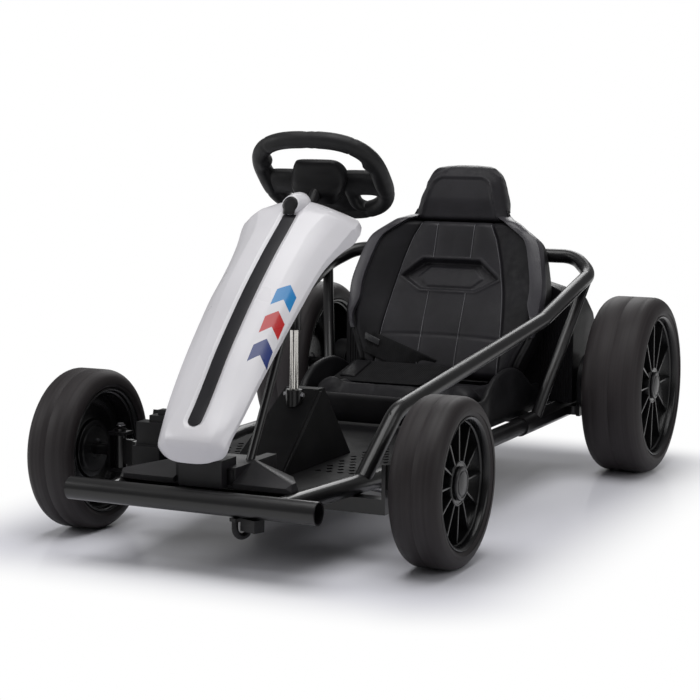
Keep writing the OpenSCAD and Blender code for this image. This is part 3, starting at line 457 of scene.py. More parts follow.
def makeRim(corner, w):
    centre = kart(w["x"], w["y"], w["r"])
    out = 1 if w["y"] > 0 else -1
    outer, half = w["r"] - w["side"] - 0.25, w["w"] / 2 - 3
    deep = half - 9
    bore = 8.06 if "front" in corner else 10.06
    hub, step = rimLook["hubRing"], (outer - 7) / 2
    profile = [  # radius, distance outward: the bore, the dished face, the lip, the well and the back
        (bore, deep - 2), (bore + 10, deep - 2), (hub - 3, deep - 2.2), (hub - 1.6, deep - 1.2),
        (hub + 0.4, deep - 1.6), (hub + 1.4, deep - 4), (hub + 2, deep - 19), (hub + 6, deep - 22),
        (outer * 0.68, deep - 23.5), (outer - 15, deep - 21), (outer - 10.5, deep - 16),
        (outer - 8.4, deep - 4), (outer - 6.6, deep - 2.5), (outer - 6, half - 3.4),
        (outer - 4.8, half - 1.4), (outer - 3.4, half - 0.2), (outer - 2, half + 0.5),
        (outer - 0.8, half + 0.2), (outer, half - 1.2), (outer, -half + 1.2), (outer - 0.8, -half - 0.2),
        (outer - 2, -half - 0.5), (outer - 3.6, -half), (outer - 5.4, -half + 2),
        (outer - 6.6, -half + 7), (outer - 9, -half + 9), (outer - 11, deep - 27),
        (outer - 14, deep - 29.5), (outer * 0.78, deep - 29.5), (outer * 0.74, deep - 27),
        (outer * 0.66, deep - 26.6), (step + 4, deep - 28.5), (step + 1, deep - 30), (step, deep - 35),
        (step - 2, deep - 36), (step - 8, deep - 36.2), (step - 10, deep - 38), (bore + 8, deep - 38.5),
        (bore + 5, deep - 36), (bore, deep - 36)]
    bm = bmesh.new()
    spinRound(bm, profile, centre, out, 96)
    for k in range(rimLook["spokes"]):
        spoke = bmesh.ops.create_cube(bm, size=1)["verts"]
        length = outer - 7 - hub + 2
        for v in spoke:
            top = v.co.y > 0
            end = v.co.z > 0
            wide = (rimLook["wide"] if top else rimLook["foot"]) * (1.25 if end else 0.9)
            face = (deep - (3.4 if end else 2)) if top else deep - 23.5
            v.co = Vector((v.co.x * wide, out * face, hub - 1 + (v.co.z + 0.5) * length)) / 1000
        turn = Matrix.Rotation(math.tau * k / rimLook["spokes"], 3, "Y")
        bmesh.ops.rotate(bm, verts=spoke, cent=(0, 0, 0), matrix=turn)
        bmesh.ops.translate(bm, verts=spoke, vec=centre)
    rim = toPiece("rim_" + corner + "_gloss", bm, rimBlack, corner + "_wheel", "rim_black",
                  ("rim_" + corner,), 34)
    addBevel(rim, 0.0007, 42)
    cap = rimLook["cap"]
    dome = [(0, deep - 1.8), (cap - 1, deep - 1.8), (cap, deep + 0.6), (cap - 0.6, deep + 2.4),
            (cap - 2.4, deep + 3.2), (cap - 4, deep + 3.3), (cap - 5, deep + 2.3), (cap - 6.2, deep + 2.3),
            (cap - 7.4, deep + 3.6), (cap - 14, deep + 5.1), (5, deep + 5.8), (0, deep + 5.9)]
    bm = bmesh.new()
    spinRound(bm, dome, centre, out, 48)
    bmesh.ops.remove_doubles(bm, verts=bm.verts, dist=1e-6)
    toPiece("hubCap_" + corner, bm, capBlack, corner + "_wheel", "rim_black", (), 34)


for corner, w in wheels.items():
    makeRim(corner, w)
print("rims are turned")


# Nose
nose = {
    "rows": [  # s up the slope, middle v, then half width and v at the face, the edge and the rear, s shift
        (-40, -34, 30, -34.2, 42, -35, 46, -36, 13), (-32, -22, 32, -22.6, 47, -29, 51, -33, 9),
        (-21, -9, 34, -11, 51, -23, 54, -29, 3), (0, -5, 38, -8, 54, -21, 55, -26, 0),
        (40, -4, 34, -7, 59, -18, 60, -23, 0), (80, -1, 33, -4, 62, -16, 63, -22, 0),
        (120, 2.6, 33.5, 0, 65, -16, 66, -22, 0), (160, 3.8, 35, 1, 67.5, -17, 68.5, -23, 0),
        (200, 4, 39, 1, 69.5, -18.5, 70.6, -25, 0), (240, 3.3, 41, 0.3, 71.5, -21, 72.7, -28, 0),
        (280, 1.1, 42, -2, 72.5, -26, 73.5, -33, 0), (320, -2, 43, -5, 75, -31, 76, -40, 0),
        (360, -6.6, 44, -9.6, 81.5, -38, 83, -51, 0), (390, -10, 50, -13, 88, -42, 91, -62, 0),
        (410, -12, 56, -17, 90, -46, 92, -64, 0), (430, -16, 50, -30, 85, -56, 86, -67, 3),
        (440, -26, 44, -42, 75, -68, 77, -75, -4)],
    "wall": 3, "stripeHalf": 10.6, "pocketHalf": 16.2, "pocketDeep": 3.0, "stripeFoot": 2, "stripeTop": 402,
    "podFace": (-98, 490), "podLean": 21,
}


def catmull(rows, at):  # a smooth row at a fraction of the way through the table
    k = min(int(at), len(rows) - 2)
    t = at - k
    a, b, c, d = (rows[min(max(i, 0), len(rows) - 1)] for i in (k - 1, k, k + 1, k + 2))
    return [q + t / 2 * (r - p + t * (2 * p - 5 * q + 4 * r - w + t * (3 * (q - r) + w - p)))
            for p, q, r, w in zip(a, b, c, d)]


def ease(x):
    x = min(max(x, 0), 1)
    return x * x * (3 - 2 * x)


def net(cols, rows, where):  # a grid whose points are put in place by column and row
    bm = bmesh.new()
    bmesh.ops.create_grid(bm, x_segments=cols, y_segments=rows, size=0.5)
    for v in bm.verts:
        v.co = where(round((v.co.x + 0.5) * cols), round((v.co.y + 0.5) * rows))
    bmesh.ops.remove_doubles(bm, verts=bm.verts, dist=1e-6)
    return bm


def rounded(points, radii):  # cuts each corner of a line of (across, up) points to three points
    line = [points[0]]
    for a, c, b, r in zip(points, points[1:], points[2:], radii):
        steps = [(c[0] + (p[0] - c[0]) * r / math.dist(c, p), c[1] + (p[1] - c[1]) * r / math.dist(c, p))
                 for p in (a, b)]
        middle = tuple(0.5 * c[k] + 0.25 * (steps[0][k] + steps[1][k]) for k in (0, 1))
        line += [steps[0], middle, steps[1]]
    return line + [points[-1]]


def fairingHalf(row):  # from the middle to the rear edge, as (across, v)
    s, vMid, w, vFace, wEdge, vEdge, wRear, vRear, _ = row
    flat = [0, 5, 10.2, 11.2, 12.8, 14.4, 16.2, 17.6]
    flat += [17.6 + (w - 7 - 17.6) * k / 4 for k in (1, 2, 3)]
    curve = [(y, vMid + (vFace - vMid) * (y / w) ** 2) for y in flat]
    mid = ((w + wEdge) / 2 + 1, (vFace + vEdge) / 2 + 1)
    side = rounded([curve[-1], (w, vFace), mid, (wEdge, vEdge), (wRear, vRear)], (2.2, 2.6, 1.2))
    out = 1.8 * ease((s - 404) / 1.5) * (1 - ease((s - 424) / 8))  # the step in the flange by the ear
    side[-2] = (side[-2][0] + out, side[-2][1])
    side[-1] = (side[-1][0] + out, side[-1][1])
    return curve[:-1] + side


def pocket(s, y):
    middle = nose["stripeFoot"] + nose["stripeHalf"]
    off = abs(y) if s > middle else math.hypot(y, s - middle)
    rim = nose["pocketHalf"] - nose["stripeHalf"] - 0.4
    return nose["pocketDeep"] * ease((nose["pocketHalf"] - off) / rim)


def makeFairing():
    steps = [k / 3 for k in range(0, 6)] + [2 + k / 16 for k in range(0, 16)]
    steps += [3 + k / 20 for k in range(0, 14)] + [3.75] + [4 + k / 3 for k in range(0, 36)] + [16]
    sections = []
    for at in steps:
        row = catmull(nose["rows"], at)
        half = fairingHalf(row)
        ring = []
        for y, v in [(-y, v) for y, v in half[:0:-1]] + half:
            s = row[0] + row[8] * (abs(y) / row[6]) ** 3
            ring.append(slope(s, v - pocket(s, y) * (1 - ease((s - 397) / 6)), y))
        sections.append(ring)
    bm = net(len(sections[0]) - 1, len(sections) - 1, lambda i, j: sections[j][i])
    fairing = toPiece("noseFairing", bm, whiteGloss, "chassis", "white_gloss", ("nose_fairing",), 24)
    addWall(fairing, nose["wall"] / 1000)
    addBevel(fairing, 0.0009, 55)


def makeStripe():
    foot, top, half = nose["stripeFoot"] + 0.4, nose["stripeTop"], nose["stripeHalf"] - 0.3
    spots = [foot + half * (1 - math.cos(math.radians(a))) for a in range(0, 91, 10)]
    spots += [40 + 12 * k for k in range(0, 30)] + [top - 2, top]
    across = (-1, -0.92, -0.5, 0, 0.5, 0.92, 1)

    def where(i, j):
        s = spots[j]
        near = foot + half - s
        wide = math.sqrt(max(half * half - near * near, 0.04)) if near > 0 else half
        at = next(k for k in range(len(nose["rows"]) - 1) if nose["rows"][k + 1][0] > s)
        low, high = nose["rows"][at][0], nose["rows"][at + 1][0]
        row = catmull(nose["rows"], at + (s - low) / (high - low))
        return slope(s, row[1] - nose["pocketDeep"] + 1.3 - 0.35 * abs(across[i]) ** 6, across[i] * wide)
    bm = net(len(across) - 1, len(spots) - 1, where)
    stripe = toPiece("noseStripe", bm, stripeBlack, "chassis", "stripe_black", ("nose_stripe",), 45)
    addWall(stripe, 0.0011)


def podPoint(along, up, radius, angle):  # along the pod's axis, which leans back
    lean = math.radians(nose["podLean"])
    x, z = nose["podFace"]
    rise = up + radius * math.sin(angle)
    return kart(x + along * math.cos(lean) - rise * math.sin(lean), radius * math.cos(angle),
                z + along * math.sin(lean) + rise * math.cos(lean))


def makePod():
    rings = [(0, 0, 0), (0, 0, 12.6), (-0.2, 0, 13.4), (-0.7, 0, 14.1), (-1.6, 0.2, 14.6), (-5, 1.4, 15.9),
             (-9, 2.6, 17.3), (-13, 3.8, 18.6), (-18, 5.2, 20.1), (-23.1, 6.7, 20.9)]
    rings += [(-23.1 - 21 * math.sin(math.radians(a)), 6.7, 21 * math.cos(math.radians(a)))
              for a in range(15, 91, 15)]
    bm = net(48, len(rings) - 1, lambda i, j: podPoint(*rings[j], math.tau * i / 48))
    cut = slope(0, -20.4, 0)
    bmesh.ops.bisect_plane(bm, geom=bm.verts[:] + bm.edges[:] + bm.faces[:], plane_co=cut,
                           plane_no=(-sinRake, 0, -cosRake), clear_outer=True)
    closeEnds(bm)
    toPiece("noseBoss", bm, whiteGloss, "chassis", "white_gloss", (), 40)
    plate = [(0.3, 0), (1.1, 0), (1.1, 0.65), (0.95, 0.94), (0.6, 0.99), (0.3, 1)]

    def where(i, j):
        angle = math.tau * (i % 48) / 48
        low = min(15.2 / max(-math.sin(angle), 0.01), 9.6 / max(abs(math.cos(angle)), 0.01))
        along, part = plate[(j + 1) % len(plate)]
        return podPoint(along, 0, part * (max(12.5, low) if math.sin(angle) < 0 else 12.5), angle)
    bm = net(48, len(plate), where)
    toPiece("noseBossPlate", bm, plateBlack, "chassis", "stripe_black", (), 35)


makeFairing()
makeStripe()
makePod()
print("nose is moulded")


# Seat
seat = {
    # height up the back, half width, bolster forward, seam half width, middle forward
    "rows": [(-22, 146, 16, 118, 22), (0, 152, 22, 118, 24), (60, 176, 26, 115, 19), (133, 186, 23, 106, 8),
             (190, 176, 18, 94, 5), (230, 161, 13, 82, 4), (262, 120, 7, 68, 3)],
    "padBack": 21.75, "channel": 35.5, "recess": [(190, 54), (158, 92), (135, 53)],
    "panel": [(180, 43), (159, 64), (140, 43)], "crease": 50,
    # height, half width, front and back of the headrest
    "head": [(268, 98, -2, -21.75), (290, 88, 4, -21.75), (290.3, 88, 4, -44), (306, 82, 6, -50),
             (338, 72, 4, -50), (350, 67.5, 1, -49), (360, 62, -3, -46), (367, 54.5, -8, -43),
             (372.6, 42, -14, -40)],
    "headPanel": [(344, 51), (268, 74)],
}


def tableAt(rows, t):
    at = next((k for k in range(len(rows) - 1) if rows[k + 1][0] >= t), len(rows) - 2)
    low, high = rows[at][0], rows[at + 1][0]
    return catmull(rows, min(at + (t - low) / (high - low), len(rows) - 1))


def groove(off, half, deep):  # how deep a sewn groove is at a distance from its middle
    return deep * max(0, 1 - (off / half) ** 2) ** 2


def outside(t, y, corners):  # distance out of a six-cornered shape that is the same on both sides
    (tTop, yTop), (tMid, yMid), (tLow, yLow) = corners
    y = abs(y)

    def beyond(a, b):  # a line from a to b, both as (t, y), with the shape below it
        dt, dy = b[0] - a[0], b[1] - a[1]
        return ((y - a[1]) * -dt + (t - a[0]) * dy) / math.hypot(dt, dy)
    return max(t - tTop, tLow - t, beyond((tTop, yTop), (tMid, yMid)), beyond((tMid, yMid), (tLow, yLow)))


def backHeight(t, y):  # how far the pad's front stands forward at a place up and across it
    row = tableAt(seat["rows"], t)
    wide, bolster, seam, middle = row[1] - 12, row[2], row[3], row[4]
    off = abs(y)
    if off <= seam:
        base = middle + 1.0 * (1 - (2 * off / seam - 1) ** 2)
        span = seat["channel"]
        inPanel = off / span if off < span else (off - span) / (seam - span)
        base += 2.2 * (4 * inPanel * (1 - inPanel) if off > span else 1 - inPanel ** 2) ** 0.8
    else:
        q = (off - seam) / max(wide - seam, 1)
        base = middle + (bolster - middle) * min(q * 1.08, 1) ** 1.1
        base += 2.6 * math.sin(math.pi * min(q, 1)) ** 0.8 - 5 * max(0, (q - 0.78) / 0.22) ** 2
    base -= groove(off - seam, 2.6, 2.8)
    base -= groove(off - seat["channel"], 2.2, 1.5)
    base -= groove(t - seat["crease"] + 4 * (off / seam) ** 2, 5, 1.0) * (off < seam)
    ends = min(t + 22, 262 - t)
    base -= 7 * max(0, 1 - ends / 9) ** 2
    away = outside(t, y, seat["recess"])
    if away < 1:
        rise = (t - 135) / 55
        floor = middle - 3.6 - 10.5 * max(0, rise) ** 1.1 + 2.2 * ease(-outside(t, y, seat["panel"]) / 3)
        base += (floor - base) * ease(0.2 - away / 3.6)
    elif away < 6:
        base += 1.0 * math.sin(math.pi * (away - 1) / 5)
    return base


def padColumns(row):
    wide, seam, channel = row[1] - 12, row[3], seat["channel"]
    half = [channel * k / 16 for k in range(15)] + [channel - 1.6, channel, channel + 1.6]
    half += [channel + 1.6 + (seam - channel - 4.8) * k / 24 for k in range(1, 25)]
    half += [seam - 1.6, seam, seam + 1.6]
    half += [seam + 1.6 + (wide - seam - 1.6) * (k / 18) for k in range(1, 18)] + [wide - 1.2, wide]
    return [-y for y in half[:0:-1]] + half


def makeBackPad():
    heights = [-22 + 284 * k / 142 for k in range(143)]
    lines = []
    for t in heights:
        row = tableAt(seat["rows"], t)
        ys = padColumns(row)
        front = [(y, backHeight(t, y)) for y in ys]
        wide = row[1] - 12
        rim = [(wide, row[2] - 13), (wide, -14), (wide - 4, -20), (wide - 9, -seat["padBack"])]
        line = front + rim + [(-y, f) for y, f in rim[::-1]] + [front[0]]
        lines.append([onBack(t, y, -f) for y, f in line])
    bm = net(len(lines[0]) - 1, len(lines) - 1, lambda i, j: lines[j][i])
    closeEnds(bm)
    pad = toPiece("seatBackPad", bm, leather, "chassis", "seat_leather", ("seat_back_pad",), 60)
    pad.data.materials.append(sideLeatherAndCushionShade)
    foot = kart(place["backFoot"][0], 0, place["backFoot"][1])
    for face in pad.data.polygons:
        off = face.center - foot
        t = 1000 * (off.z * cosBack - off.x * sinBack)
        seam = tableAt(seat["rows"], min(max(t, -22), 262))[3]
        face.material_index = int(1000 * abs(face.center.y) > seam)


def headFront(t):  # the headrest's half width, and how far its front stands forward
    if t > 306:
        row = tableAt(seat["head"][3:], t)
        return row[1], row[2]
    rise = (t - 268) / 38
    return 82 + 16 * (1 - rise) ** 1.6, -2 + 8 * ease(rise)


def makeHeadrest():
    ts = [268 + 90 * k / 44 for k in range(45)]
    ts += [359.6, 361.2, 362.8, 364.4, 366, 367.4, 368.8, 370, 371.4, 372.6]
    across = [k / 30 for k in range(-30, 31)]
    lines = []
    for t in ts:
        half, front = headFront(t)
        back = -21.75 if t < 290.2 else -44 - 6 * ease((t - 290) / 14) + 10 * max(0, (t - 338) / 34) ** 2
        topSoft = 5 * max(0, 1 - (372 - t) / 9) ** 2
        lowSoft = 4 * max(0, 1 - (t - 268) / 6) ** 2
        ring = []
        for q in across:
            y = half * q
            (tTop, yTop), (tLow, yLow) = seat["headPanel"]
            edge = yLow + (yTop - yLow) * (t - tLow) / (tTop - tLow)
            inner = min(edge, half - 8)
            up, out = max(t - tTop + 16, 0), max(abs(y) - inner + 16, 0)
            away = math.hypot(up, out) - 16 if up and out else max(t - tTop, abs(y) - inner)
            bevel = min(max(0, away) / (half - inner), 1.3) * out / max(up + out, 1)
            side = 15 * bevel + 5 * bevel ** 3
            panel = 2.4 * ease(-away / 3) - 1.4 * math.exp(-((away - 2.5) / 3.5) ** 2)
            ring.append((y, front - side - topSoft - lowSoft - panel + 1.6))
        low = min(front - 14, back + 8)
        rim = [(half, low), (half - 4, back + 2.5), (half - 9, back), (half * 0.5, back), (0, back)]
        ring += rim + [(-y, f) for y, f in rim[-2::-1]] + [ring[0]]
        lines.append([onBack(t, y, -f) for y, f in ring])
    bm = net(len(lines[0]) - 1, len(lines) - 1, lambda i, j: lines[j][i])
    closeEnds(bm)
    rest = toPiece("headrestPad", bm, leather, "chassis", "seat_leather", ("headrest",), 50)


def shellRow(t):
    rows = [(-20.7, 140, -8)] + [(r[0], r[1], r[2] - 7) for r in seat["rows"][1:]]
    return tableAt(rows + [(280, 93, -21), (290, 88, -21.2)], t)


trimBand = {  # round the band, distance inside the shell's edge and height off it
    "inside": (27, 25.6, 15, 3.6, -0.8, -0.6, 8, 25), "height": (6, 13, 14.2, 10, -1.2, -4, -0.6, 2),
    "top": 279, "length": 224, "steps": 56,
}


def makeShell():
    ts = [-20.7 + 310.7 * k / 80 for k in range(81)]
    lines = []
    for t in ts:
        _, half, rim = shellRow(t)
        inner = [(half - 11.7, rim), (half - 11.75, min(-17.5, rim - 0.5)), (half - 17, -22), (30, -22),
                 (0, -22)]
        outer = [(half - 9, rim + 1.5), (half - 4, rim + 1.2), (half - 1, rim - 1.5),
                 (half, min(-20, rim - 3)), (half - 3, -27), (half - 12, -34), (half - 30, -36),
                 (30, -36), (0, -36)]
        rightSide = inner[::-1] + outer
        ring = rightSide + [(-y, f) for y, f in rightSide[-2::-1]]
        lines.append([onBack(t, y, -f) for y, f in ring])
    bm = net(len(lines[0]) - 1, len(lines) - 1, lambda i, j: lines[j][i])
    closeEnds(bm)
    toPiece("seatShell", bm, plasticBlack, "chassis", "black_plastic", ("seat_shell",), 40)
    for side, name in ((1, "Left"), (-1, "Right")):
        def where(i, j, side=side):
            t = trimBand["top"] - trimBand["length"] * j / trimBand["steps"]
            slim = 1 - 0.62 * ease((118 - t) / 46)
            _, half, rim = shellRow(t)
            wide = half - trimBand["inside"][i % 8] * slim
            up = trimBand["height"][i % 8]
            end = ease(j / 1.2) * ease((trimBand["steps"] - j) / 3)
            return onBack(t, side * wide, -(rim + up * (0.35 + 0.65 * end)))
        bm = net(8, trimBand["steps"], where)
        closeEnds(bm)
        toPiece("shellTrim" + name, bm, shellTrim, "chassis", "black_plastic", (), 40)


def makeStitches():
    bm = bmesh.new()
    for side in (1, -1):
        lines = [[(t, side * seat["channel"]) for t in range(194, 259, 4)],
                 [(t, side * seat["channel"]) for t in range(-14, 134, 4)],
                 [(t, side * (tableAt(seat["rows"], t)[3] - 2.6)) for t in range(-14, 259, 4)]]
        for spots in lines:
            rings = []
            for t, y in spots:
                high = backHeight(t, y) + 0.1
                rings.append([onBack(t, y + 0.45 * math.cos(a), -(high + 0.45 * math.sin(a)))
                              for a in (math.tau * k / 6 for k in range(6))])
            loft(bm, rings)
    toPiece("seatStitches", bm, thread, "chassis", "seat_leather", (), 60)


makeBackPad()
makeHeadrest()
makeShell()
makeStitches()
print("seat back is padded")


# Seat base, cushion and belt
tub = {"end": -744, "front": -460, "half": 172, "foot": 112, "top": 140, "corner": 34, "wall": 158,
       "deep": 12,
       # distance behind the front, and the side's height there
       "crest": [(-3, 141), (6, 149), (34, 175), (66, 193), (108, 201), (152, 200), (192, 189), (228, 171),
                 (250, 156), (290, 148)]}
cushion = {"front": -474, "end": -684, "half": 154, "low": 140.6, "channels": (39, 108), "cap": 7,
           "height": 152, "frontRoll": 13, "sideRise": 9,
           "room": (0.4730, 0.1592)}  # the tub's inner front and half width, in metres
belt = {"thick": 2.2, "adjuster": (-612, -124, 178), "tongue": (34, -124),
        # across the cushion, and how far the lap belt bends forward there
        "spots": [(-150, 0), (-140, 2), (-105, 3), (-60, 1), (-20, 0), (20, -3), (46, -8)]}


def tubPath():  # round the open-backed rim from the left rear, as (x, y, outward x, outward y)
    r, half, front = tub["corner"], tub["half"], tub["front"]
    sides = [(tub["end"] + (front - r - tub["end"]) * k / 32, half, 0, 1) for k in range(32)]
    turn = [math.radians(90 * k / 10) for k in range(11)]
    arc = [(front - r + r * math.sin(a), half - r + r * math.cos(a), math.sin(a), math.cos(a)) for a in turn]
    left = sides + arc
    middle = [(front, (half - r) * (1 - k / 10), 1, 0) for k in range(1, 10)]
    right = [(x, -y, ox, -oy) for x, y, ox, oy in (left + middle)[::-1]]
    return left + middle + [(front, 0, 1, 0)] + right


def rimHeight(x, across):
    side = tableAt(tub["crest"], max(tub["front"] - x, -3))[1]
    low = tub["wall"]
    return low + math.log1p(math.exp((side - low) / 4)) * 4 if across > 60 else low


def makeTub():
    lines = []
    for x, y, ox, oy in tubPath():
        high = rimHeight(x, abs(y))
        foot, deep = tub["foot"], tub["deep"]
        ring = [(-8, foot), (-2.5, foot), (-1.5, foot + 1.5), (0, foot + 14), (0.6, (foot + high) / 2),
                (0.6, high - 9), (0.2, high - 4), (-1.6, high - 1), (-4.4, high), (-7.5, high - 0.6),
                (-deep + 1.6, high - 2.6), (-deep, high - 6), (-deep, tub["top"] + 1), (-deep, foot + 8),
                (-8, foot)]
        lines.append([kart(x + ox * a, y + oy * a, z) for a, z in ring])
    bm = net(len(lines[0]) - 1, len(lines) - 1, lambda i, j: lines[j][i])
    closeEnds(bm)
    low = bmesh.ops.create_cube(bm, size=1)["verts"]
    for v in low:
        v.co = kart(tub["end"] + 1 + (tub["front"] - 8 - tub["end"]) * (v.co.x + 0.5),
                    2 * v.co.y * (tub["half"] - 8), 133.5 + v.co.z * 13)
    toPiece("seatTub", bm, plasticBlack, "chassis", "black_plastic", ("seat_base",), 40)


def swell(piece, voxel, pressure, cap):  # inflates the cover as cloth and keeps each point within the cap
    remesh = piece.modifiers.new("Remesh", "REMESH")
    remesh.mode = "VOXEL"
    remesh.voxel_size = voxel
    slack = bpy.data.meshes.new_from_object(piece.evaluated_get(bpy.context.evaluated_depsgraph_get()))
    piece.modifiers.clear()
    piece.data = slack
    cloth = piece.modifiers.new("Cloth", "CLOTH")
    cloth.settings.use_pressure = True
    cloth.settings.uniform_pressure_force = pressure
    cloth.settings.effector_weights.gravity = 0
    cloth.point_cache.frame_start, cloth.point_cache.frame_end = 1, 20
    for step in range(1, 21):
        scene.frame_set(step)
    full = bpy.data.meshes.new_from_object(piece.evaluated_get(bpy.context.evaluated_depsgraph_get()))
    piece.modifiers.clear()
    for a, b in zip(slack.vertices, full.vertices):
        move = b.co - a.co
        if move.length > cap:
            move = move * (cap / move.length)
        a.co = a.co + move
    scene.frame_set(1)


def cushionHalf(x):
    near = ease((cushion["front"] - x) / 50)
    return cushion["half"] - 12 * (1 - near)


def makeCushion():
    front, end = cushion["front"], cushion["end"]
    cols, rows = 62, 44

    def top(x, q):
        run = (front - x) / (front - end)
        high = cushion["height"] + cushion["frontRoll"] * math.exp(-((run - 0.12) / 0.13) ** 2)
        high += cushion["sideRise"] * ease((abs(q) - 0.62) / 0.2)
        high -= 8 * max(0, (abs(q) - 0.9) / 0.1) ** 2.2 + 14 * max(0, 1 - run / 0.09) ** 2.4
        return high - 5 * max(0, (run - 0.94) / 0.06) ** 2

    def where(i, j):
        x = front + (end - front) * j / rows
        q = 2 * i / cols - 1
        return kart(x, cushionHalf(x) * q, top(x, q))
    bm = net(cols, rows, where)
    skirt = bmesh.ops.extrude_edge_only(bm, edges=[e for e in bm.edges if e.is_boundary])["geom"]
    for v in (g for g in skirt if isinstance(g, bmesh.types.BMVert)):
        v.co.z = cushion["low"] / 1000
    closeEnds(bm)
    # the cushion takes the darker leather as painted shade, for the shade that falls over the seat base
    pad = toPiece("seatCushion", bm, sideLeatherAndCushionShade, "chassis", "seat_leather", ("seat_cushion",), 60)
    swell(pad, 0.005, 4, cushion["cap"] / 1000)
    x0, low, room = place["frontX"], cushion["low"] / 1000, cushion["room"]
    for v in pad.data.vertices:
        x, y = (v.co.x - x0) * 1000, v.co.y * 1000
        run = (front - x) / (front - end)
        if v.co.z > low + 0.012:
            sink = sum(groove(abs(y) - at * (0.9 + 0.1 * run), 4, 2.0) for at in cushion["channels"])
            v.co.z -= sink / 1000
        v.co.z = max(v.co.z, low)
        v.co.y = min(max(v.co.y, -room[1]), room[1])
        v.co.x = min(v.co.x, x0 - room[0])
    pad.data.polygons.foreach_set("use_smooth", [True] * len(pad.data.polygons))
    subdivide(pad, 1)


def band(name, rows, thick, finish, slot):  # flat webbing; each row is (edge point, other edge point, normal)
    across = [0, 0.02, 0.06, 0.3, 0.5, 0.7, 0.94, 0.98, 1]
    lift = [0.25, 0.85, 1, 1, 1, 1, 1, 0.85, 0.25]
    lines = []
    for a, b, n in rows:
        front = [a.lerp(b, t) + n * thick * k / 1000 for t, k in zip(across, lift)]
        back = [a.lerp(b, t) for t in across[::-1]]
        lines.append(front + back + front[:1])
    bm = net(len(lines[0]) - 1, len(lines) - 1, lambda i, j: lines[j][i])
    closeEnds(bm)
    return toPiece(name, bm, finish, "chassis", slot, (), 50)


def makeBelt():
    rows = []
    for k in range(37):
        y, bend = catmull(belt["spots"], 6 * k / 36)
        tuck = ease((y - 10) / 40)
        low = kart(-566 + bend - 60 * tuck, y, 164.5 - 1 * tuck)
        high = kart(-657 + bend * 0.4 + 1 * tuck, y + 6, 188 - 12 * tuck)
        normal = (high - low).cross(Vector((0, 1, 0))).normalized()
        normal = normal if normal.z > 0 else -normal
        rows.append((low, high, normal))
    band("lapBelt", rows, belt["thick"], beltBlack, "seat_leather")
    rows = []
    for k in range(25):
        run = k / 24
        t, y = 30 - 44 * run, -134 + 128 * run
        side = Vector((0.42, 0.9)) * 21
        spots = [(t + side.y * s, y + side.x * s) for s in (-1, 1)]
        edges = [onBack(*spot, -(backHeight(*spot) + 2.5)) for spot in spots]
        normal = (edges[1] - edges[0]).cross(onBack(t - 4, y + 9, 0) - onBack(t, y, 0)).normalized()
        rows.append((*edges, normal if normal.x > 0 else -normal))
    band("beltStrap", rows, belt["thick"], beltBlack, "seat_leather")
    bm = bmesh.new()
    made = bmesh.ops.create_cube(bm, size=1)["verts"]
    ahead, up = Vector((0.25, 0, 0.968)), Vector((-0.968, 0, 0.25))
    for v in made:
        side = Vector((0, v.co.y * 0.03, 0))
        v.co = kart(*belt["adjuster"]) + ahead * v.co.x * 0.009 + up * v.co.z * 0.074 + side
    softEdges(bm, 0.003, 3)
    toPiece("beltAdjuster", bm, plasticBlack, "chassis", "black_plastic", (), 40)
    bm = bmesh.new()
    made = bmesh.ops.create_cube(bm, size=1)["verts"]
    for v in made:
        t, y = belt["tongue"][0] + v.co.z * 12 - v.co.y * 12, belt["tongue"][1] + v.co.y * 30
        v.co = onBack(t, y, -(backHeight(34, -122) + 6.5 + v.co.x * 4))
    softEdges(bm, 0.0015, 2)
    toPiece("beltTongue", bm, trimGloss, "chassis", "black_plastic", (), 40)


makeTub()
makeCushion()
makeBelt()
print("seat base, cushion and belt are set")


# Steering wheel
helm = {
    "wide": 97.5, "high": 78, "tube": 13, "low": 3.0, "up": 2.7,  # the rim's half sizes and how square it is
    "seams": [(180, 1.4), (141, 1.4), (219, 1.4), (74, 1.4), (286, 1.4), (24, 1.4), (336, 1.4), (176.4, 0.9)],
    "grips": (108, 252),  # degrees round the rim from its bottom
    "spoke": [(0.0, 5), (0.12, 9), (0.3, 11), (0.6, 11.5), (0.85, 10), (1.0, 5), (1.0, -4), (0.85, -8),
              (0.5, -9.5), (0.12, -8), (0.0, -4)],
    "hub": [  # down the face, half width, back, front
        (-36, 27, 2, 7), (-34, 32, -2, 11), (-29, 36.5, -6, 15), (-21, 41, -9, 20), (-13, 44, -10, 28),
        (-7, 45, -10, 37), (0, 43, -10, 42.5), (10, 38, -10, 43.5), (22, 32.5, -10, 40), (29, 28, -9, 26),
        (31, 24, -7, 12)],
}


def power(c, n):
    return math.copysign(abs(c) ** (2 / n), c)


def rimPath(angle):  # zero at the bottom of the wheel, as (down, across)
    c, s = math.cos(angle), math.sin(angle)
    n = helm["low"] if c > 0 else helm["up"]
    return power(c, n) * helm["high"], power(s, n) * helm["wide"]


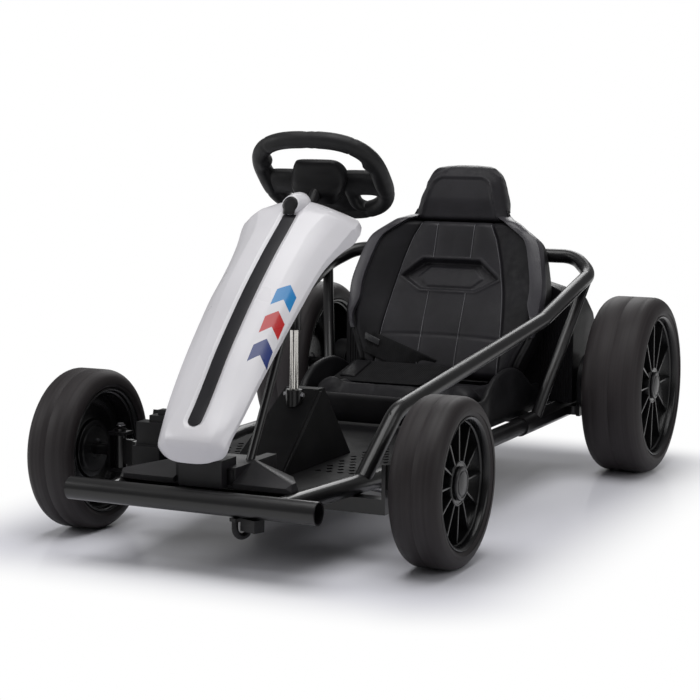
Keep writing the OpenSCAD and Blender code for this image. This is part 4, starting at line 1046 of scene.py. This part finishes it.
def makeHelmRim():
    steps, sides = 176, 24
    angles = [math.tau * k / steps for k in range(steps)]

    def where(i, j):
        a = angles[j % steps]
        p = rimPath(a)
        before, after = rimPath(a - 0.01), rimPath(a + 0.01)
        along = Vector((after[0] - before[0], after[1] - before[1])).normalized()
        outward = Vector((along.y, -along.x))
        if outward.dot(Vector(p)) < 0:
            outward = -outward
        turn = math.tau * (i % sides) / sides
        r = helm["tube"]
        degrees = math.degrees(a)
        for at, wide in helm["seams"]:
            r -= 0.8 * math.exp(-((degrees - at) / wide) ** 2)
        r -= 0.7 * math.exp(-((math.degrees(turn) - 97) / 7) ** 2)
        inner = max(0, -math.cos(turn))
        for at in helm["grips"]:
            r += 5.5 * inner * math.exp(-((degrees - at) / 8) ** 2)
            r += 3.5 * inner * math.exp(-((degrees - at - (22 if at > 180 else -22)) / 9) ** 2)
        off = r * math.cos(turn)
        return onWheel(p[0] + outward.x * off, p[1] + outward.y * off, r * math.sin(turn))
    bm = net(sides, steps, where)
    toPiece("steeringRim", bm, gripLeather, "steering_wheel", "soft_grip", ("steering_rim",), 60)


def superRing(halfA, halfB, n, count):
    angles = [math.tau * k / count for k in range(count)]
    return [(power(math.cos(a), n) * halfA, power(math.sin(a), n) * halfB) for a in angles]


def makeHelmSpokes():
    count = 56
    slot = [(50 + x, 66 + y) for x, y in superRing(13, 19, 3, count)]  # the opening that each spoke frames
    edge = [(29 + x, 61 + y) for x, y in superRing(41, 33, 4.5, count)]
    section = helm["spoke"]
    bm = bmesh.new()
    for side in (1, -1):
        def where(i, j, side=side):
            t, z = section[j % len(section)]
            down, across = (low + (high - low) * t for low, high in zip(slot[i % count], edge[i % count]))
            return onWheel(down, side * across, z)
        half = net(count, len(section), where)
        spare = bpy.data.meshes.new("spare")
        half.to_mesh(spare)
        half.free()
        bm.from_mesh(spare)
        bpy.data.meshes.remove(spare)
    spokes = toPiece("steeringSpokes", bm, gripLeather, "steering_wheel", "soft_grip", (), 50)
    subdivide(spokes, 1)


def makeHelmHub():
    lines = []
    for k in range(41):
        down, half, back, front = catmull(helm["hub"], k * (len(helm["hub"]) - 1) / 40)
        ring = superRing((front - back) / 2, half, 4.2, 64)
        lines.append([onWheel(down, y * (1 - 0.15 * max(0, z) / 30), z + (front + back) / 2)
                      for z, y in ring + ring[:1]])
    bm = net(64, 40, lambda i, j: lines[j][i])
    closeEnds(bm)
    toPiece("steeringHub", bm, plasticBlack, "steering_wheel", "black_plastic", ("steering_hub",), 45)
    lower = superRing(28, 44, 4, 40)
    rings = [(0, -7), (0.8, -6), (1, -3.5), (1, 7), (0.9, 9.5), (0, 10.5)]
    lines = [[onWheel(48 + x * share, y * share, z) for x, y in lower + lower[:1]] for share, z in rings]
    bm = net(40, 5, lambda i, j: lines[j][i])
    toPiece("steeringLowerSpoke", bm, gripLeather, "steering_wheel", "soft_grip", (), 45)


makeHelmRim()
makeHelmSpokes()
makeHelmHub()
print("steering wheel is wrapped")


# Ribs, bolts and small fittings
def slab(bm, low, high):
    made = bmesh.ops.create_cube(bm, size=1)["verts"]
    for v in made:
        v.co = kart(*(a + (b - a) * (c + 0.5) for a, b, c in zip(low, high, v.co)))


ribs = {"count": 12, "first": 158, "step": 5, "wide": 2.2, "low": 124, "top": 317, "x": (-781.4, -779.4)}


def makeRibs():
    bm = bmesh.new()
    back, front = ribs["x"]
    for side in (1, -1):
        for k in range(ribs["count"]):
            y = side * (ribs["first"] + ribs["step"] * k)
            top = ribs["top"] - max(0, abs(y) - 170) * 0.75
            slab(bm, (back, y - ribs["wide"] / 2, ribs["low"]), (front, y + ribs["wide"] / 2, top))
    toPiece("housingRibs", bm, plasticBlack, "chassis", "black_plastic", (), 40)
    bm = bmesh.new()
    for low in (-26, -7):
        slab(bm, (155.8, low, 119), (158.2, low + 12, 142))
    for side in (1, -1):
        slab(bm, (155.8, side * 38 - 5, 119), (157.6, side * 38 + 5, 142))
    softEdges(bm, 0.0006, 2)
    toPiece("noseBlockRibs", bm, plasticBlack, "chassis", "black_plastic", (), 40)


def bolt(bm, spot, across, high, turn=None):  # a hexagon head with a round washer, seated at spot
    corners = across / 2 / math.cos(math.pi / 6)
    for r, low, top, sides in ((across * 0.72, -0.4, 0.8, 20), (corners, 0.6, high, 6)):
        made = bmesh.ops.create_cone(bm, cap_ends=True, segments=sides, radius1=r / 1000, radius2=r / 1000,
                                     depth=(top - low) / 1000)["verts"]
        bmesh.ops.translate(bm, verts=made, vec=(0, 0, (top + low) / 2000))
        if turn:
            bmesh.ops.rotate(bm, verts=made, cent=(0, 0, 0), matrix=turn)
        bmesh.ops.translate(bm, verts=made, vec=spot)


bolts = {"collar": (12.2, 206.5, 6, 4.2), "knuckle": [(0, 231, 158.6, 9, 3.4), (-50, 231, 98.6, 8, 4)]}
sleeve = {"x": -115, "low": 304, "top": 353, "bore": 6.2, "outer": 9.8}


def makeShaftParts():
    x, low, top = sleeve["x"], sleeve["low"], sleeve["top"]
    bore, outer = sleeve["bore"], sleeve["outer"]
    profile = [(bore, low), (outer - 0.6, low), (outer, low + 0.8), (outer, top - 1), (outer - 0.6, top),
               (bore, top)]
    bm = bmesh.new()
    verts = [bm.verts.new(kart(x + r, 0, z)) for r, z in profile]
    edges = [bm.edges.new(p) for p in zip(verts, verts[1:] + verts[:1])]
    bmesh.ops.spin(bm, geom=verts + edges, cent=kart(x, 0, 0), axis=(0, 0, 1), angle=math.tau, steps=36,
                   use_merge=True)
    toPiece("shaftSleeve", bm, frameBlack, "lower_shaft", "frame_black", (), 40)
    bm = bmesh.new()
    for side in (1, -1):
        y, z, across, high = bolts["collar"]
        bolt(bm, kart(x, side * y, z), across, high, Matrix.Rotation(-side * math.pi / 2, 3, "X"))
    toPiece("collarBolts", bm, steel, "chassis", "bright_steel", (), 35)
    for side, name in ((1, "left"), (-1, "right")):
        bm = bmesh.new()
        for x, y, z, across, high in bolts["knuckle"]:
            bolt(bm, kart(x, side * y, z), across, high)
        toPiece("kingpinBolts_" + name, bm, steel, name + "_knuckle", "frame_black", (), 35)


consoleEdge = {"low": (13, 42.6, 106), "high": (-142, 27.8, 209), "wide": 9, "thick": 2.4, "sunk": 0.6}


def makeConsoleEdges():
    bm = bmesh.new()
    wide, thick, sunk = consoleEdge["wide"], consoleEdge["thick"], consoleEdge["sunk"]
    for side in (1, -1):
        made = bmesh.ops.create_cube(bm, size=1)["verts"]
        for v in made:
            x, y, z = (a + (b - a) * (v.co.z + 0.5) for a, b in zip(consoleEdge["low"], consoleEdge["high"]))
            v.co = kart(x + (v.co.x - 0.5) * wide, side * (y + (v.co.y + 0.5) * thick - sunk), z)
    softEdges(bm, 0.0008, 2)
    toPiece("consoleEdges", bm, plasticBlack, "chassis", "black_plastic", (), 40)


makeRibs()
makeConsoleEdges()
makeShaftParts()
print("ribs and fittings are added")


# Frame and other hard parts
hardParts = [  # node, finish, slot, bevel
    ("front_bumper", frameBlack, "frame_black", 0), ("main_rails", frameBlack, "frame_black", 0),
    ("rear_frame", frameBlack, "frame_black", 0), ("side_hoop", frameBlack, "frame_black", 0),
    ("hoop_struts", frameBlack, "frame_black", 0), ("front_axle_beam", frameBlack, "frame_black", 0),
    ("tow_loop", plasticBlack, "frame_black", 0), ("shaft_collar", frameBlack, "frame_black", 0.001),
    # the nose block takes the lighter black as painted light on its lit top
    ("fairing_stays", frameBlack, "frame_black", 0), ("nose_base", blockBlackPaintedLight, "black_plastic", 0.0015),
    ("throttle_pedal", plasticBlack, "black_plastic", 0.0015),
    # the console takes the darker black as painted shade, to match its shaded side
    ("console", floorBlackAndConsoleShade, "black_plastic", 0.004),
    ("rear_housing", plasticBlack, "black_plastic", 0.002),
    ("drive_motor_left", plasticBlack, "black_plastic", 0.001),
    ("drive_motor_right", plasticBlack, "black_plastic", 0.001),
    ("rear_axle", steel, "bright_steel", 0), ("knuckle_left", frameBlack, "frame_black", 0),
    ("knuckle_right", frameBlack, "frame_black", 0), ("tie_rod_left", steel, "bright_steel", 0),
    ("tie_rod_right", steel, "bright_steel", 0), ("steering_shaft", chrome, "chrome_steel", 0),
    ("upper_column", capBlack, "frame_black", 0),
]
for node, finish, slot, bevel in hardParts:
    smoothCopy(node, finish, slot, bevel)
for node, finish in (("floor_pan", floorBlackAndConsoleShade), ("battery_block", plasticBlack)):
    mesh = frame["nodes"][node].data
    if mesh.materials:
        for k in range(len(mesh.materials)):
            mesh.materials[k] = finish
    else:
        mesh.materials.append(finish)
print("hard parts are dressed")
